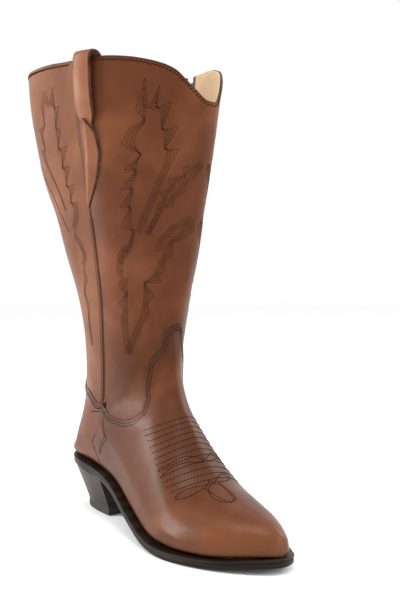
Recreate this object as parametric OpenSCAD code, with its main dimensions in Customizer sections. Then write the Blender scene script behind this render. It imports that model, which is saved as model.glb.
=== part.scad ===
// Knee-high cowboy boot, right foot, with a zip on the medial side.
// Millimetres, +Z up, +X toward the toe, -Y the lateral side, +Y the medial side.
// The origin is on the ground under the centre of the boot's bounding box.
//
// The shaped skin is a fan of section planes, s = 0 at the toe tip to s = 20 above the topline.
// A point on the skin is (s, a): a = 0 is the ridge or front crease, -90 the lateral seam,
// +90 the medial seam and 180 the sole line or back crease.
// Sheets of leather are closed solids between two depths below that skin.

/* [Upper] */
// Thickness of the outer leather
upper_thickness = 1.8; // [1.4:0.1:1.8]
// Thickness of the lining leather
lining_thickness = 0.8; // [0.5:0.1:0.8]
// Height of the topline at the side seams, above the ground
topline_height = 368; // [345:1:372]
// How far the topline dips at the front centre
front_dip = 35; // [20:1:40]

/* [Sole and heel] */
// Thickness of the welt
welt_thickness = 2; // [1.6:0.1:2]
// Thickness of the outsole
outsole_thickness = 4; // [3.4:0.1:4]
// Thickness of the top lift under the heel
top_lift_thickness = 6; // [4:0.5:7]
// Half width of the heel where it meets the ground
heel_half_width = 22; // [19:0.5:24]

/* [Pull strap] */
// Width of the pull strap
strap_width = 15; // [12:0.5:16]
// Thickness of the pull strap
strap_thickness = 2; // [1.6:0.1:2]

/* [Zip] */
// Half width of the slot the teeth show through
slot_half_width = 5.5; // [5:0.1:6]
// Pitch of the teeth along the chain
tooth_pitch = 3; // [2.5:0.5:4]
// Height of the slider when the boot is closed
slider_height = 350; // [330:1:350]
// Length of the pull tab below its hinge
pull_length = 26; // [18:1:28]

/* [Hidden] */

// From the heel-back design frame to the centre of the bounding box
origin_shift = [-115, 9.8, 0];

// The seams down both sides are straight lines: x and medial y as functions of height
seam_foot_x = 74;
seam_slope_x = 0.068;
zip_foot_y = 27.25;
zip_slope_y = 0.05;
function seam_x(z) = seam_foot_x + seam_slope_x * z;
function zip_y(z) = zip_foot_y + zip_slope_y * z;

// Foot sections: s, front x z, widest x z, bottom x z, lateral and medial half width,
// centre y, y offset of front and back, superellipse exponent of front and back
foot_sections = [
  [0, 271, 19, 271, 15, 271, 10.8, 0, 0, 0, 0, 0, 2, 2.2],
  [1, 269, 25, 269, 15, 269, 10.6, 9, 8, 0, 0, 0, 2, 3],
  [2, 258, 31, 258, 16, 259, 9.7, 20, 16, 0, 0, 0, 1.9, 5],
  [3, 238, 37, 239, 16, 240, 7.7, 34, 27, 0, 0, 0, 1.8, 7],
  [4, 217, 43, 219, 16, 220, 6.9, 43, 35, 0, 0, 0, 1.7, 7],
  [5, 195, 52, 197, 18, 198, 6.8, 47, 39, 0, 0, 0, 1.65, 7],
  [6, 177, 68, 173, 23, 172, 9.5, 46, 38, 0, 0, 0, 1.6, 7],
  [7, 163, 84, 146, 37, 140, 20.5, 41, 34, 0, 1, 0, 1.6, 7],
  [8, 151, 98, 118, 55, 104, 35.5, 36, 32, 0, 1, 0, 1.6, 7],
  [9, 144, 112, 93, 66, 62, 42.3, 33, 31, 0, 2, 0, 1.6, 6]];
// Shaft sections: s, front x z, seam z, back x z, lateral half width,
// y offset of front and back, exponent of front and back
shaft_sections = [
  [10, 140, 124, 75, 18, 44.9, 32, 3, 0, 1.6, 5],
  [11, 138, 137, 90, 6, 50, 31, 4, 0, 1.6, 3],
  [12, 137, 150, 110, 9, 75, 31, 4, 0, 1.6, 2],
  [13, 138, 163, 133, 18, 105, 32, 6, 0, 1.6, 2],
  [14, 140, 178, 158, 21, 138, 34, 8, -2, 1.6, 2],
  [15, 143, 199, 187, 15, 174, 36.5, 11, -4, 1.6, 2],
  [16, 147, 223, 218, -3, 212, 41.5, 14, -6, 1.6, 2],
  [17, 152, 250, 250, -18, 250, 47.5, 16, -8, 1.6, 2],
  [18, 158, 285, 285, -33, 285, 54.5, 18, -11, 1.6, 2],
  [19, 166, 327, 327, -43, 327, 61.5, 20, -15, 1.6, 2],
  [20, 175, 385, 385, -47, 385, 66, 21, -19, 1.6, 2]];
sections = concat(foot_sections, [for (r = shaft_sections)
  [r[0], r[1], r[2], seam_x(r[3]), r[3], r[4], r[5], r[6], zip_y(r[3]), 0, r[7], r[8], r[9], r[10]]]);

// Drop of the topline below its level at the side seams, by angle round the shaft
topline_drop = [[0, front_dip], [10, front_dip - 2], [20, 23], [30, 11], [45, 4], [62, 1], [90, 0],
  [108, -5], [125, -9], [142, -12], [158, -12], [170, -7], [180, -4]];
// Scalloped line where the shaft panels meet the vamp and the heel cover
scallop = [[0, 12.9], [9, 12.85], [17, 12.7], [22, 12], [28, 11.6], [37, 11.3], [38.5, 10.2],
  [40, 9.3], [46, 8.85], [55, 8.8], [63, 9.1], [70, 9.8], [80, 10.7], [90, 11.3], [102, 11.8],
  [115, 12.3], [140, 12.9], [165, 13.3], [180, 13.5]];
// Line across the sole below the side seams
underfoot = [[90, 9.9], [96, 9.3], [104, 8.9], [118, 8.7], [132, 8.6], [180, 8.5]];
// Where the zip slot ends above the side seam
zip_foot_s = 10.15;

// Sole outline from heel to toe: x, lateral y, medial y, height of the top of the welt
sole_outline = [
  [3, -0.6, 0.6, 48], [5, -11, 11, 47], [14, -23, 22, 44.5], [38, -32, 30.5, 42.8],
  [70, -35, 33, 41], [104, -39, 32, 35], [140, -45, 36, 20], [172, -50, 41, 9],
  [196, -51, 43, 6.35], [218, -47, 39, 6.35], [240, -38, 31, 7.2], [259, -25, 20, 9.2],
  [270, -13, 12, 10.2], [275, -1, 1, 10.6]];

function seg(t, x, i = 0) = i >= len(t) - 2 || x < t[i + 1][0] ? i : seg(t, x, i + 1);
function slope(t, i) = let (p = max(i - 1, 0), q = min(i + 1, len(t) - 1)) (t[q] - t[p]) / (t[q][0] - t[p][0]);
function curve(t, x) = let (i = seg(t, x), h = t[i + 1][0] - t[i][0], u = (x - t[i][0]) / h,
  u2 = u * u, u3 = u2 * u)
  (2 * u3 - 3 * u2 + 1) * t[i] + (u3 - 2 * u2 + u) * h * slope(t, i)
  + (3 * u2 - 2 * u3) * t[i + 1] + (u3 - u2) * h * slope(t, i + 1);

function skin_row(r, a) = let (front = abs(a) <= 90, e = 2 / (front ? r[12] : r[13]),
  k = pow(abs(cos(a)), e), m = pow(abs(sin(a)), e))
  [r[3] + ((front ? r[1] : r[5]) - r[3]) * k,
   r[9] + (front ? r[10] : r[11]) * k * k + sign(a) * (a < 0 ? r[7] : r[8]) * m,
   r[4] + ((front ? r[2] : r[6]) - r[4]) * k];
function wrap(a) = a > 180 ? a - 360 : (a < -180 ? a + 360 : a);
function skin(s, a) = skin_row(curve(sections, s), wrap(a));
// Point at a depth below the skin (negative depths stand outside it)
function deep(s, a, d) = let (r = curve(sections, s),
  n = cross(skin(s + 0.04, a) - skin(s - 0.04, a), skin_row(r, wrap(a + 1.5)) - skin_row(r, wrap(a - 1.5))))
  skin_row(r, wrap(a)) + n * (d / norm(n));

// Angle of a point a distance dx toward the front (+) or back (-) of a side seam
function beside(s, dx, side) = let (r = curve(sections, s), front = dx >= 0,
  run = front ? r[1] - r[3] : r[3] - r[5], c = acos(pow(abs(dx) / run, (front ? r[12] : r[13]) / 2)))
  side * (front ? c : 180 - c);
// Section whose point at angle a stands at height z
function level(z, a, lo = 9, hi = 20, n = 22) = n == 0 ? (lo + hi) / 2
  : let (m = (lo + hi) / 2) skin(m, a)[2] < z ? level(z, a, m, hi, n - 1) : level(z, a, lo, m, n - 1);
function topline(a, below = 0) = level(topline_height - curve(topline_drop, abs(wrap(a)))[1] - below, a);

// Closed solid between two matching grids of points; capped closes the first row into a tip
module sheet(outer, inner, capped = false) {
  n = len(outer);
  m = len(outer[0]);
  half = floor(m / 2);
  function at(i, j) = i * m + j;
  grid = [for (i = [0:n - 2]) for (j = [0:m - 2])
    each [[at(i, j), at(i + 1, j), at(i + 1, j + 1)], [at(i, j), at(i + 1, j + 1), at(i, j + 1)]]];
  flipped = [for (f = grid) [f[0] + n * m, f[2] + n * m, f[1] + n * m]];
  function wall(p, q) = [[q, p, p + n * m], [q, p + n * m, q + n * m]];
  last = [for (j = [0:m - 2]) each wall(at(n - 1, j), at(n - 1, j + 1))];
  first = [for (j = [0:m - 2]) each wall(at(0, j + 1), at(0, j))];
  left = [for (i = [0:n - 2]) each wall(at(i, 0), at(i + 1, 0))];
  right = [for (i = [0:n - 2]) each wall(at(i + 1, m - 1), at(i, m - 1))];
  rungs = [for (j = [0:half - 1]) each j == half - 1
    ? [[j, half, half + 1]]
    : [[j, j + 1, m - 2 - j], [j, m - 2 - j, m - 1 - j]]];
  rungs_in = [for (f = rungs) [f[0] + n * m, f[2] + n * m, f[1] + n * m]];
  tip = concat(rungs, rungs_in, wall(m - 1, 0));
  polyhedron(points = concat([for (r = outer) each r], [for (r = inner) each r]),
    faces = concat(grid, flipped, last, left, right, capped ? tip : first), convexity = 6);
}

// Grid over columns [a, first s, last s]
function grid_at(cols, n, d, inset = 0) = [for (i = [0:n]) [for (c = cols)
  deep(c[1] + inset + (c[2] - c[1] - inset) * i / n, c[0], d)]];
module leather(cols, n, d0, d1) {
  sheet(grid_at(cols, n, d0), grid_at(cols, n, d1));
}
module tipped(cols, n, d0, d1, inset) {
  sheet(grid_at(cols, n, d0), grid_at(cols, n, d1, inset), capped = true);
}
// Strip along a side seam between offsets in x, by section and depth
module strip(side, dxs, s0, s1, n, d0, d1) {
  sheet([for (i = [0:n]) let (s = s0 + (s1 - s0) * i / n)
      [for (x = dxs) deep(s, beside(s, x, side), d0)]],
    [for (i = [0:n]) let (s = s0 + (s1 - s0) * i / n)
      [for (x = dxs) deep(s, beside(s, x, side), d1)]]);
}

// Upper, outside pieces -------------------------------------------------

upper_depth = upper_thickness;
vamp_angles = [-160, -148, -136, -124, -112, -102, -94, -90.5, -89.5, -81.5, -80, -70, -60, -50, -42, -38.5,
  -34, -28, -22, -15, -7, 0, 7, 15, 22, 28, 34, 38.5, 42, 50, 60, 70, 80, 81.5, 89.5, 90.5, 94, 102,
  112, 124, 136, 148, 160];
function vamp_end(a) = abs(a) > 90 ? lookup(abs(a), underfoot)
  : (a > 81 ? zip_foot_s : lookup(abs(a), scallop));

module vamp() {
  color("#7a4526")
  tipped([for (a = vamp_angles) [a, 0.06, vamp_end(a)]], 26, 0, upper_depth, 0.8);
}

cover_angles = [90.8, 92.5, 93.2, 95.5, 102, 112, 124, 136, 148, 160, 170, 180, 190, 200, 212, 224, 236, 248, 258,
  264.5, 269.2];
// Column of the heel cover: the medial edge stops at the foot of the zip
function cover_col(a, gap) = let (b = abs(wrap(a)))
  [a, lookup(b, underfoot) + gap, a < 93 ? zip_foot_s : lookup(b, scallop)];

module heel_counter_cover() {
  color("#8a4f2b")
  leather([for (a = cover_angles) cover_col(a, 0.05)], 14, 0, upper_depth);
}

front_angles = [-70, -60, -50, -40, -38.7, -37, -28, -22, -17, -9, 0, 9, 17, 22, 28, 37, 38.7, 40, 50, 60,
  70];
back_angles = [104, 116, 130, 145, 158, 169, 180, 191, 202, 215, 230, 244, 256];
panel_rows = 18;
seam_gap = 0.06;
// Columns beside the zip: distance from the zip line and the angle whose row heights they share
function zip_columns(med) = med < 12 ? [[12, 14], [8, 10.5], [med, 8]] : [[med, 8]];
// One row of a shaft panel: columns in the middle, straight edges beside the seams
function row_s(a, t, below) = let (s0 = lookup(abs(wrap(a)), scallop) + seam_gap)
  s0 + (topline(a, below) - s0) * t;
function front_row(t, d, lat, med, below) = concat(
  [for (c = [[lat, -89], [7, -82]]) let (s = row_s(c[1], t, below)) deep(s, beside(s, c[0], -1), d)],
  [for (a = front_angles) deep(row_s(a, t, below), a, d)],
  [for (c = zip_columns(med)) let (s = row_s(90 - c[1], t, below)) deep(s, beside(s, c[0], 1), d)]);
function back_row(t, d, lat, med, below) = let (columns = zip_columns(med), last = len(columns) - 1) concat(
  [for (i = [last:-1:0]) let (c = columns[i], s = row_s(86 + c[1], t, below)) deep(s, beside(s, -c[0], 1), d)],
  [for (a = back_angles) deep(row_s(a, t, below), a, d)],
  [let (s = row_s(-91, t, below)) deep(s, 360 + beside(s, -lat, -1), d)]);

module front_shaft_panel() {
  color("#9a5a33")
  sheet([for (i = [0:panel_rows]) front_row(i / panel_rows, 0, 1.3, slot_half_width, 0)],
    [for (i = [0:panel_rows]) front_row(i / panel_rows, upper_depth, 1.3, slot_half_width, 0)]);
}

module back_shaft_panel() {
  color("#a05c30")
  sheet([for (i = [0:panel_rows]) back_row(i / panel_rows, 0, 1.3, slot_half_width, 0)],
    [for (i = [0:panel_rows]) back_row(i / panel_rows, upper_depth, 1.3, slot_half_width, 0)]);
}

// Welted piping in the lateral seam: proud below the strap patch, flush above it
piping_rows = 26;
patch_foot_s = 17.1;
function piping_s(i) = lookup(90, scallop) + 0.2 + (topline(-90, 1) - lookup(90, scallop) - 0.2) * i / piping_rows;
function piping_row(i, d0) = let (s = piping_s(i), d = d0 > 0 ? d0 : (s > patch_foot_s ? 0.1 : -0.7))
  [for (x = [-1.1, 0, 1.1]) deep(s, beside(s, x, -1), x == 0 || d > 0 ? d : 0.1)];

module lateral_seam_piping() {
  color("#6b3a20")
  sheet([for (i = [0:piping_rows]) piping_row(i, 0)], [for (i = [0:piping_rows]) piping_row(i, upper_depth)]);
}

// Pull strap: a ribbon from inside the topline, over it and down the outside, just in front of
// the side seam. Path rows: distance outside the skin, height, half width as a share of the full
// half width, distance of the middle in front of the seam
strap_path = [[-6.8, 326, 1, 13], [-6.8, 345, 1, 13], [-6.7, 361, 1, 13], [-6, 367, 1, 13], [-3.5, 371.2, 1, 13],
  [0.4, 372.6, 1, 13], [3.8, 371.4, 1, 13], [5.8, 366.5, 1, 13], [6.3, 357, 1, 13], [6.3, 345, 1, 13],
  [5.9, 332, 1, 13], [4.4, 323, 0.9, 13], [2.9, 316, 0.5, 13], [2.3, 310, 0.42, 12.5], [2.2, 292, 0.4, 11]];
function strap_side(i) = let (p = strap_path[max(i - 1, 0)], q = strap_path[min(i + 1, len(strap_path) - 1)],
  v = [q[0] - p[0], q[1] - p[1]]) [-v[1], v[0]] / norm(v);
// Point of the lateral skin at height z beside the seam, moved out by off along -Y
highest_skin = 376;
function lateral(z, dx, off) = let (s = level(min(z, highest_skin), -90)) let (p = skin(s, beside(s, dx, -1)))
  [p[0], p[1] - off, z];
function strap_row(i, thick) = let (p = strap_path[i], n = strap_side(i) * thick, w = p[2] * strap_width / 2)
  [for (f = [1, 0.33, -0.33, -1]) lateral(p[1] + n[1], p[3] + f * w, p[0] + n[0])];

module pull_strap() {
  color("#9c5c36")
  sheet([for (i = [0:len(strap_path) - 1]) strap_row(i, 0)],
    [for (i = [0:len(strap_path) - 1]) strap_row(i, -strap_thickness)]);
}

// Leaf-shaped patch that holds the foot of the strap: height, half width, lift over the strap at
// the middle and at the border, distance of the middle in front of the seam
patch_rows = [[321, 0.5, 4.4, 4.4, 13], [317, 2.4, 3.5, 3.5, 13], [312, 4.6, 2.9, 1.2, 13], [305, 6.2, 2.7, 0.2, 12.5],
  [296, 7.3, 2.6, 0.2, 12], [290, 7.5, 2.6, 0.2, 11], [286, 7.4, 0.6, 0.2, 10], [278, 6.8, 0.6, 0.2, 8.5],
  [268, 5, 0.6, 0.2, 5.5], [260, 2.8, 0.5, 0.2, 2.5], [254, 0.5, 0.3, 0.2, 0.5]];
patch_thickness = 1.5;
patch_fold = 0.75;
function patch_row(r, thick) = [for (f = [-1, -patch_fold, 0, patch_fold, 1])
  lateral(r[0], r[4] - f * r[1], (abs(f) == 1 ? r[3] : r[2]) + thick)];

module pull_strap_patch() {
  color("#8f5330")
  sheet([for (r = patch_rows) patch_row(r, patch_thickness)], [for (r = patch_rows) patch_row(r, 0)]);
}

// Linings and stiffeners -------------------------------------------------

layer_gap = 0.3;
stiffener_thickness = 0.7;
lining_depth = upper_thickness + layer_gap;
stiffener_depth = upper_thickness + layer_gap;
foot_lining_depth = stiffener_depth + stiffener_thickness + layer_gap;
slot_lining = 12.5;

module front_shaft_lining() {
  color("#cbb08a")
  sheet([for (i = [0:panel_rows]) front_row(i / panel_rows, lining_depth, 0.2, slot_lining, 0.4)],
    [for (i = [0:panel_rows]) front_row(i / panel_rows, lining_depth + lining_thickness, 0.2, slot_lining, 0.4)]);
}

module back_shaft_lining() {
  color("#cbb08a")
  sheet([for (i = [0:panel_rows]) back_row(i / panel_rows, lining_depth, 0.2, slot_lining, 0.4)],
    [for (i = [0:panel_rows]) back_row(i / panel_rows, lining_depth + lining_thickness, 0.2, slot_lining, 0.4)]);
}

// Foot linings stop short of the zip
function lined_end(a) = let (u = lookup(abs(wrap(a)), scallop)) a > 71 && a < 100 ? min(u, zip_foot_s - 0.1) : u - 0.08;

module vamp_lining() {
  color("#c4a67e")
  tipped([for (a = [-120, -105, -96, -89, -80, -70, -60, -50, -42, -38.5, -34, -28, -22, -12, 0, 12, 22,
      28, 34, 38.5, 42, 50, 60, 70, 80, 89, 96, 105, 120])
      [a, 1.3, abs(a) > 90 ? lookup(abs(a), underfoot) - 0.1 : lined_end(a)]],
    14, foot_lining_depth, foot_lining_depth + lining_thickness, 0.3);
}

heel_lining_angles = [91, 99, 110, 122, 135, 150, 165, 180, 195, 210, 225, 238, 250, 261, 269];
// First section of a heel lining column: above the insole all round the heel seat
heel_seat = [[90, 9.95], [110, 9.75], [122, 9.9], [135, 10.2], [150, 10.55], [165, 10.8], [180, 10.9]];

module heel_lining() {
  color("#c4a67e")
  leather([for (a = heel_lining_angles) [a, lookup(abs(wrap(a)), heel_seat), lined_end(a)]],
    8, foot_lining_depth, foot_lining_depth + lining_thickness);
}

module toe_puff() {
  color("#8d8674")
  tipped([for (a = [-120, -105, -90, -75, -60, -45, -30, -15, 0, 15, 30, 45, 60, 75, 90, 105, 120])
    [a, 1.1, 3.4]], 6, stiffener_depth, stiffener_depth + stiffener_thickness, 0.1);
}

module heel_stiffener() {
  color("#8d8674")
  leather([for (a = [102, 110, 122, 135, 150, 165, 180, 195, 210, 225, 238, 250, 258])
    [a, lookup(abs(wrap(a)), heel_seat), min(12, lookup(abs(wrap(a)), scallop) - 0.2)]],
    6, stiffener_depth, stiffener_depth + stiffener_thickness);
}

// Sole pieces -----------------------------------------------------------------

function sole_at(x) = curve(sole_outline, x);
// Closed bar whose cross-sections [x, y0, y1, z0, z1] follow the sole
module plank(rows) {
  n = len(rows);
  points = [for (r = rows) each [[r[0], r[1], r[3]], [r[0], r[2], r[3]], [r[0], r[2], r[4]], [r[0], r[1], r[4]]]];
  sides = [for (i = [0:n - 2]) for (j = [0:3]) let (p = 4 * i + j, q = 4 * i + (j + 1) % 4)
    each [[p, q, q + 4], [p, q + 4, p + 4]]];
  ends = [[0, 2, 1], [0, 3, 2], [4 * n - 4, 4 * n - 3, 4 * n - 2], [4 * n - 4, 4 * n - 2, 4 * n - 1]];
  polyhedron(points = points, faces = [for (f = concat(sides, ends)) [f[0], f[2], f[1]]], convexity = 6);
}

sole_x = [3, 3.8, 5, 7, 10, 14, 20, 28, 38, 50, 60, 70, 82, 94, 104, 113, 122, 131, 140, 149, 158, 167, 177, 187,
  196, 207, 218, 229, 240, 250, 259, 265, 270, 273, 275];
// Ring of the welt: outer edge of the sole, inner edge well inside it
function ring_y(x, side, inset) = let (r = sole_at(x)) side < 0 ? min(r[1] + inset, -0.3) : max(r[2] - inset, 0.3);
ring_inset = 11;

module welt() {
  color("#231a16")
  difference() {
    plank([for (x = sole_x) let (r = sole_at(x)) [x, r[1], r[2], r[3] - welt_thickness, r[3]]]);
    plank([for (x = [14, 20, 28, 38, 50, 60, 70, 82, 94, 104, 113, 122, 131, 140, 149, 158, 167, 177, 187, 196, 207,
      218, 229, 240, 250, 256]) let (r = sole_at(x))
      [x, ring_y(x, -1, ring_inset), ring_y(x, 1, ring_inset), r[3] - 9, r[3] + 5]]);
  }
}

filler_inset = ring_inset + 0.3;
module cork_filler() {
  color("#a98256")
  plank([for (x = [152, 158, 167, 177, 187, 196, 207, 218, 229, 240, 250, 254]) let (r = sole_at(x))
    [x, ring_y(x, -1, filler_inset), ring_y(x, 1, filler_inset), r[3] - welt_thickness + 0.05, r[3] - 0.1]]);
}

shank_half_width = 7;
module shank() {
  color("#9a9da0")
  plank([for (x = [44, 52, 60, 70, 82, 94, 104, 113, 122, 131, 140, 148]) let (r = sole_at(x))
    [x, -shank_half_width, shank_half_width, r[3] - welt_thickness + 0.15, r[3] - 0.4]]);
}

module outsole() {
  color("#3a2a20")
  plank([for (x = sole_x) let (r = sole_at(x), z = r[3] - welt_thickness - 0.05)
    [x, r[1] + 0.3, r[2] - 0.3, z - outsole_thickness, z]]);
}

insole_rows = [[20, 12], [28, 17], [40, 20.5], [60, 23], [82, 24.5], [104, 26], [122, 28], [140, 30],
  [158, 32.5], [177, 34], [196, 34], [212, 31.5], [228, 26], [242, 18.5], [252, 12], [258, 7]];
// Medial half width of the insole as a share of the lateral one
medial_share = 0.84;
insole_lift = upper_thickness + 1.2;
module insole_board() {
  color("#b79a72")
  plank([for (r = insole_rows) let (z = sole_at(r[0])[3] + insole_lift)
    [r[0], -r[1], r[1] * medial_share, z, z + 1.8]]);
}

module sock_liner() {
  color("#c9ae86")
  plank([for (r = insole_rows) let (z = sole_at(r[0])[3] + insole_lift + 1.9)
    [r[0], 0.7 - r[1], r[1] * medial_share - 0.6, z, z + 1.2]]);
}

// Heel ------------------------------------------------------------------------

heel_top = [3.4, 81, 34.5, 32.5];
heel_foot = [17, 75];
heel_turns = [for (t = [-90:10:90]) t];
// Outline of the heel at share t from the ground (0) to the seat (1)
function heel_share(t) = pow(t, 1.05);
function heel_ring(t) = let (u = heel_share(t), xb = heel_foot[0] + (heel_top[0] - heel_foot[0]) * u,
  xf = heel_foot[1] + (heel_top[1] - heel_foot[1]) * u,
  wl = heel_half_width + (heel_top[2] - heel_half_width) * u,
  wm = heel_half_width + (heel_top[3] - heel_half_width) * u)
  [for (a = heel_turns) [xf - (xf - xb) * pow(cos(a), 0.8), (a < 0 ? wl : wm) * sign(a) * pow(abs(sin(a)), 0.85)]];
heel_levels = [0, 0.2, 0.4, 0.6, 0.8, 0.92, 1];
seat_gap = 0.05;

module heel_block() {
  m = len(heel_turns);
  n = len(heel_levels);
  under = -welt_thickness - outsole_thickness - 0.05 - seat_gap;
  points = [for (t = heel_levels) each [for (p = heel_ring(t)) let (top = sole_at(max(p[0], 3))[3] + under)
    [p[0], p[1], top_lift_thickness + 0.02 + (top - top_lift_thickness - 0.02) * t]]];
  around = [for (i = [0:n - 2]) for (j = [0:m - 1]) let (k = (j + 1) % m)
    each [[i * m + j, (i + 1) * m + k, i * m + k], [i * m + j, (i + 1) * m + j, (i + 1) * m + k]]];
  half = floor(m / 2);
  function rungs(b) = [for (j = [0:half - 1]) each j == half - 1 ? [[b + j, b + half, b + half + 1]]
    : [[b + j, b + j + 1, b + m - 2 - j], [b + j, b + m - 2 - j, b + m - 1 - j]]];
  color("#2e2119")
  polyhedron(points = points, faces = concat(around, rungs(0), [for (f = rungs((n - 1) * m)) [f[0], f[2], f[1]]]),
    convexity = 4);
}

// Nails of the top lift: five in a horseshoe
nail_spots = [[26, 0], [36, 13], [36, -13], [62, 14], [62, -14]];
nail_radius = 1.1;
nail_clearance = 0.03;

module top_lift() {
  color("#1e1815")
  difference() {
    linear_extrude(top_lift_thickness) polygon(heel_ring(0));
    for (p = nail_spots) {
      translate([p[0], p[1], -1])
      cylinder(h = top_lift_thickness + 2, r = nail_radius + nail_clearance, $fn = 32);
    }
  }
}

module heel_nails() {
  color("#8f8f92")
  for (p = nail_spots) {
    translate([p[0], p[1], 0.3])
    cylinder(h = top_lift_thickness - 0.4, r = nail_radius, $fn = 32);
  }
}

// Zip ------------------------------------------------------------------------

lean_x = atan(seam_slope_x);
lean_y = atan(zip_slope_y * cos(lean_x));
// Local frame on the zip line: X toward the toe, Y outward, Z up the chain
module on_zip(z) {
  translate([seam_x(z), zip_y(z), z])
  rotate([-lean_y, lean_x, 0])
  children();
}
module box(lo, hi) {
  translate(lo)
  cube(hi - lo);
}

tape_depth = upper_thickness + 0.25;
tape_thickness = 0.6;
tape_top_s = 19.62;

module zip_tape_front() {
  color("#2a1d17")
  strip(1, [12, 8, 4.5, 1], zip_foot_s + 0.12, tape_top_s, 22, tape_depth, tape_depth + tape_thickness);
}

module zip_tape_back() {
  color("#2a1d17")
  strip(1, [-1, -4.5, -8, -12], zip_foot_s + 0.12, tape_top_s, 22, tape_depth, tape_depth + tape_thickness);
}

chain_foot = 84;
chain_top = 357;
tooth_count = floor((chain_top - chain_foot) / tooth_pitch);
tooth_height = 1.5;
// One row of teeth, each a small block fixed to the edge of its tape
module teeth(side, start) {
  for (i = [0:tooth_count - 1]) {
    on_zip(chain_foot + (i + start) * tooth_pitch)
    box([side > 0 ? 0.7 : -3.2, -1.85, 0], [side > 0 ? 3.2 : -0.7, -0.55, tooth_height]);
  }
}

module zip_teeth_front() {
  color("#b08d57")
  teeth(1, 0);
}

module zip_teeth_back() {
  color("#b08d57")
  teeth(-1, 0.5);
}

module zip_top_stops() {
  color("#b08d57")
  for (side = [-1, 1]) {
    on_zip(chain_top + 2.6)
    box([side > 0 ? 0.6 : -3.4, -1.85, 0], [side > 0 ? 3.4 : -0.6, -0.1, 2.5]);
  }
}

module zip_bottom_stop() {
  color("#b08d57")
  on_zip(chain_foot - 4)
  box([-3.4, -1.85, 1], [3.4, -0.1, 3]);
}

// Leather flap behind the chain, sewn to the back lining along one edge
guard_cols = [[14, 7.6], [7, 6.8], [0, 6.6], [-6, 6.4], [-11, 5.8], [-16, 3.8], [-22, 3.6]];
guard_thickness = 0.8;
guard_foot_s = 11.5;
guard_rows = 14;
guard_top_s = 19.5;
function guard_row(i, extra) = let (s = guard_foot_s + (guard_top_s - guard_foot_s) * i / guard_rows)
  [for (c = guard_cols) deep(s, beside(s, c[0], 1), c[1] + extra)];

module zip_guard() {
  color("#b5966c")
  sheet([for (i = [0:guard_rows]) guard_row(i, 0)], [for (i = [0:guard_rows]) guard_row(i, guard_thickness)]);
}

plate_half = 4.2;
plate_low = -5.5;
plate_high = 6;
hinge_out = 3.5;
pin_radius = 0.8;
pin_clearance = 0.08;

module zip_slider() {
  color("#b89a5e")
  on_zip(slider_height)
  union() {
    box([-plate_half, -0.1, plate_low], [plate_half, 1.3, plate_high]);
    box([-plate_half, -4.6, plate_low], [plate_half, -3.4, plate_high]);
    box([-0.4, -3.5, plate_high - 3.5], [0.4, 0, plate_high]);
    box([-3, 1.2, -1.6], [-2.2, hinge_out + 1, 1.6]);
    box([2.2, 1.2, -1.6], [3, hinge_out + 1, 1.6]);
    translate([-2.6, hinge_out, 0])
    rotate([0, 90, 0])
    cylinder(h = 5.2, r = pin_radius, $fn = 32);
  }
}

ring_radius = 1.75;
module zip_pull() {
  color("#b89a5e")
  on_zip(slider_height)
  translate([0, hinge_out, 0])
  difference() {
    union() {
      translate([-1.8, 0, 0])
      rotate([0, 90, 0])
      cylinder(h = 3.6, r = ring_radius, $fn = 32);
      box([-1.8, -0.6, -4], [1.8, 0.6, -1]);
      box([-2.8, -0.6, -pull_length], [2.8, 0.6, -3]);
    }
    translate([-3, 0, 0])
    rotate([0, 90, 0])
    cylinder(h = 6, r = pin_radius + pin_clearance, $fn = 32);
  }
}

translate(origin_shift) vamp();
translate(origin_shift) heel_counter_cover();
translate(origin_shift) front_shaft_panel();
translate(origin_shift) back_shaft_panel();
translate(origin_shift) lateral_seam_piping();
translate(origin_shift) pull_strap();
translate(origin_shift) pull_strap_patch();
translate(origin_shift) front_shaft_lining();
translate(origin_shift) back_shaft_lining();
translate(origin_shift) vamp_lining();
translate(origin_shift) heel_lining();
translate(origin_shift) toe_puff();
translate(origin_shift) heel_stiffener();
translate(origin_shift) insole_board();
translate(origin_shift) sock_liner();
translate(origin_shift) shank();
translate(origin_shift) cork_filler();
translate(origin_shift) welt();
translate(origin_shift) outsole();
translate(origin_shift) heel_block();
translate(origin_shift) top_lift();
translate(origin_shift) heel_nails();
translate(origin_shift) zip_tape_front();
translate(origin_shift) zip_tape_back();
translate(origin_shift) zip_teeth_front();
translate(origin_shift) zip_teeth_back();
translate(origin_shift) zip_top_stops();
translate(origin_shift) zip_bottom_stop();
translate(origin_shift) zip_guard();
translate(origin_shift) zip_slider();
translate(origin_shift) zip_pull();
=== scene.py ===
import math
import bmesh
import bpy
import numpy as np
from mathutils import Matrix, Vector
from mathutils.kdtree import KDTree

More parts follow.
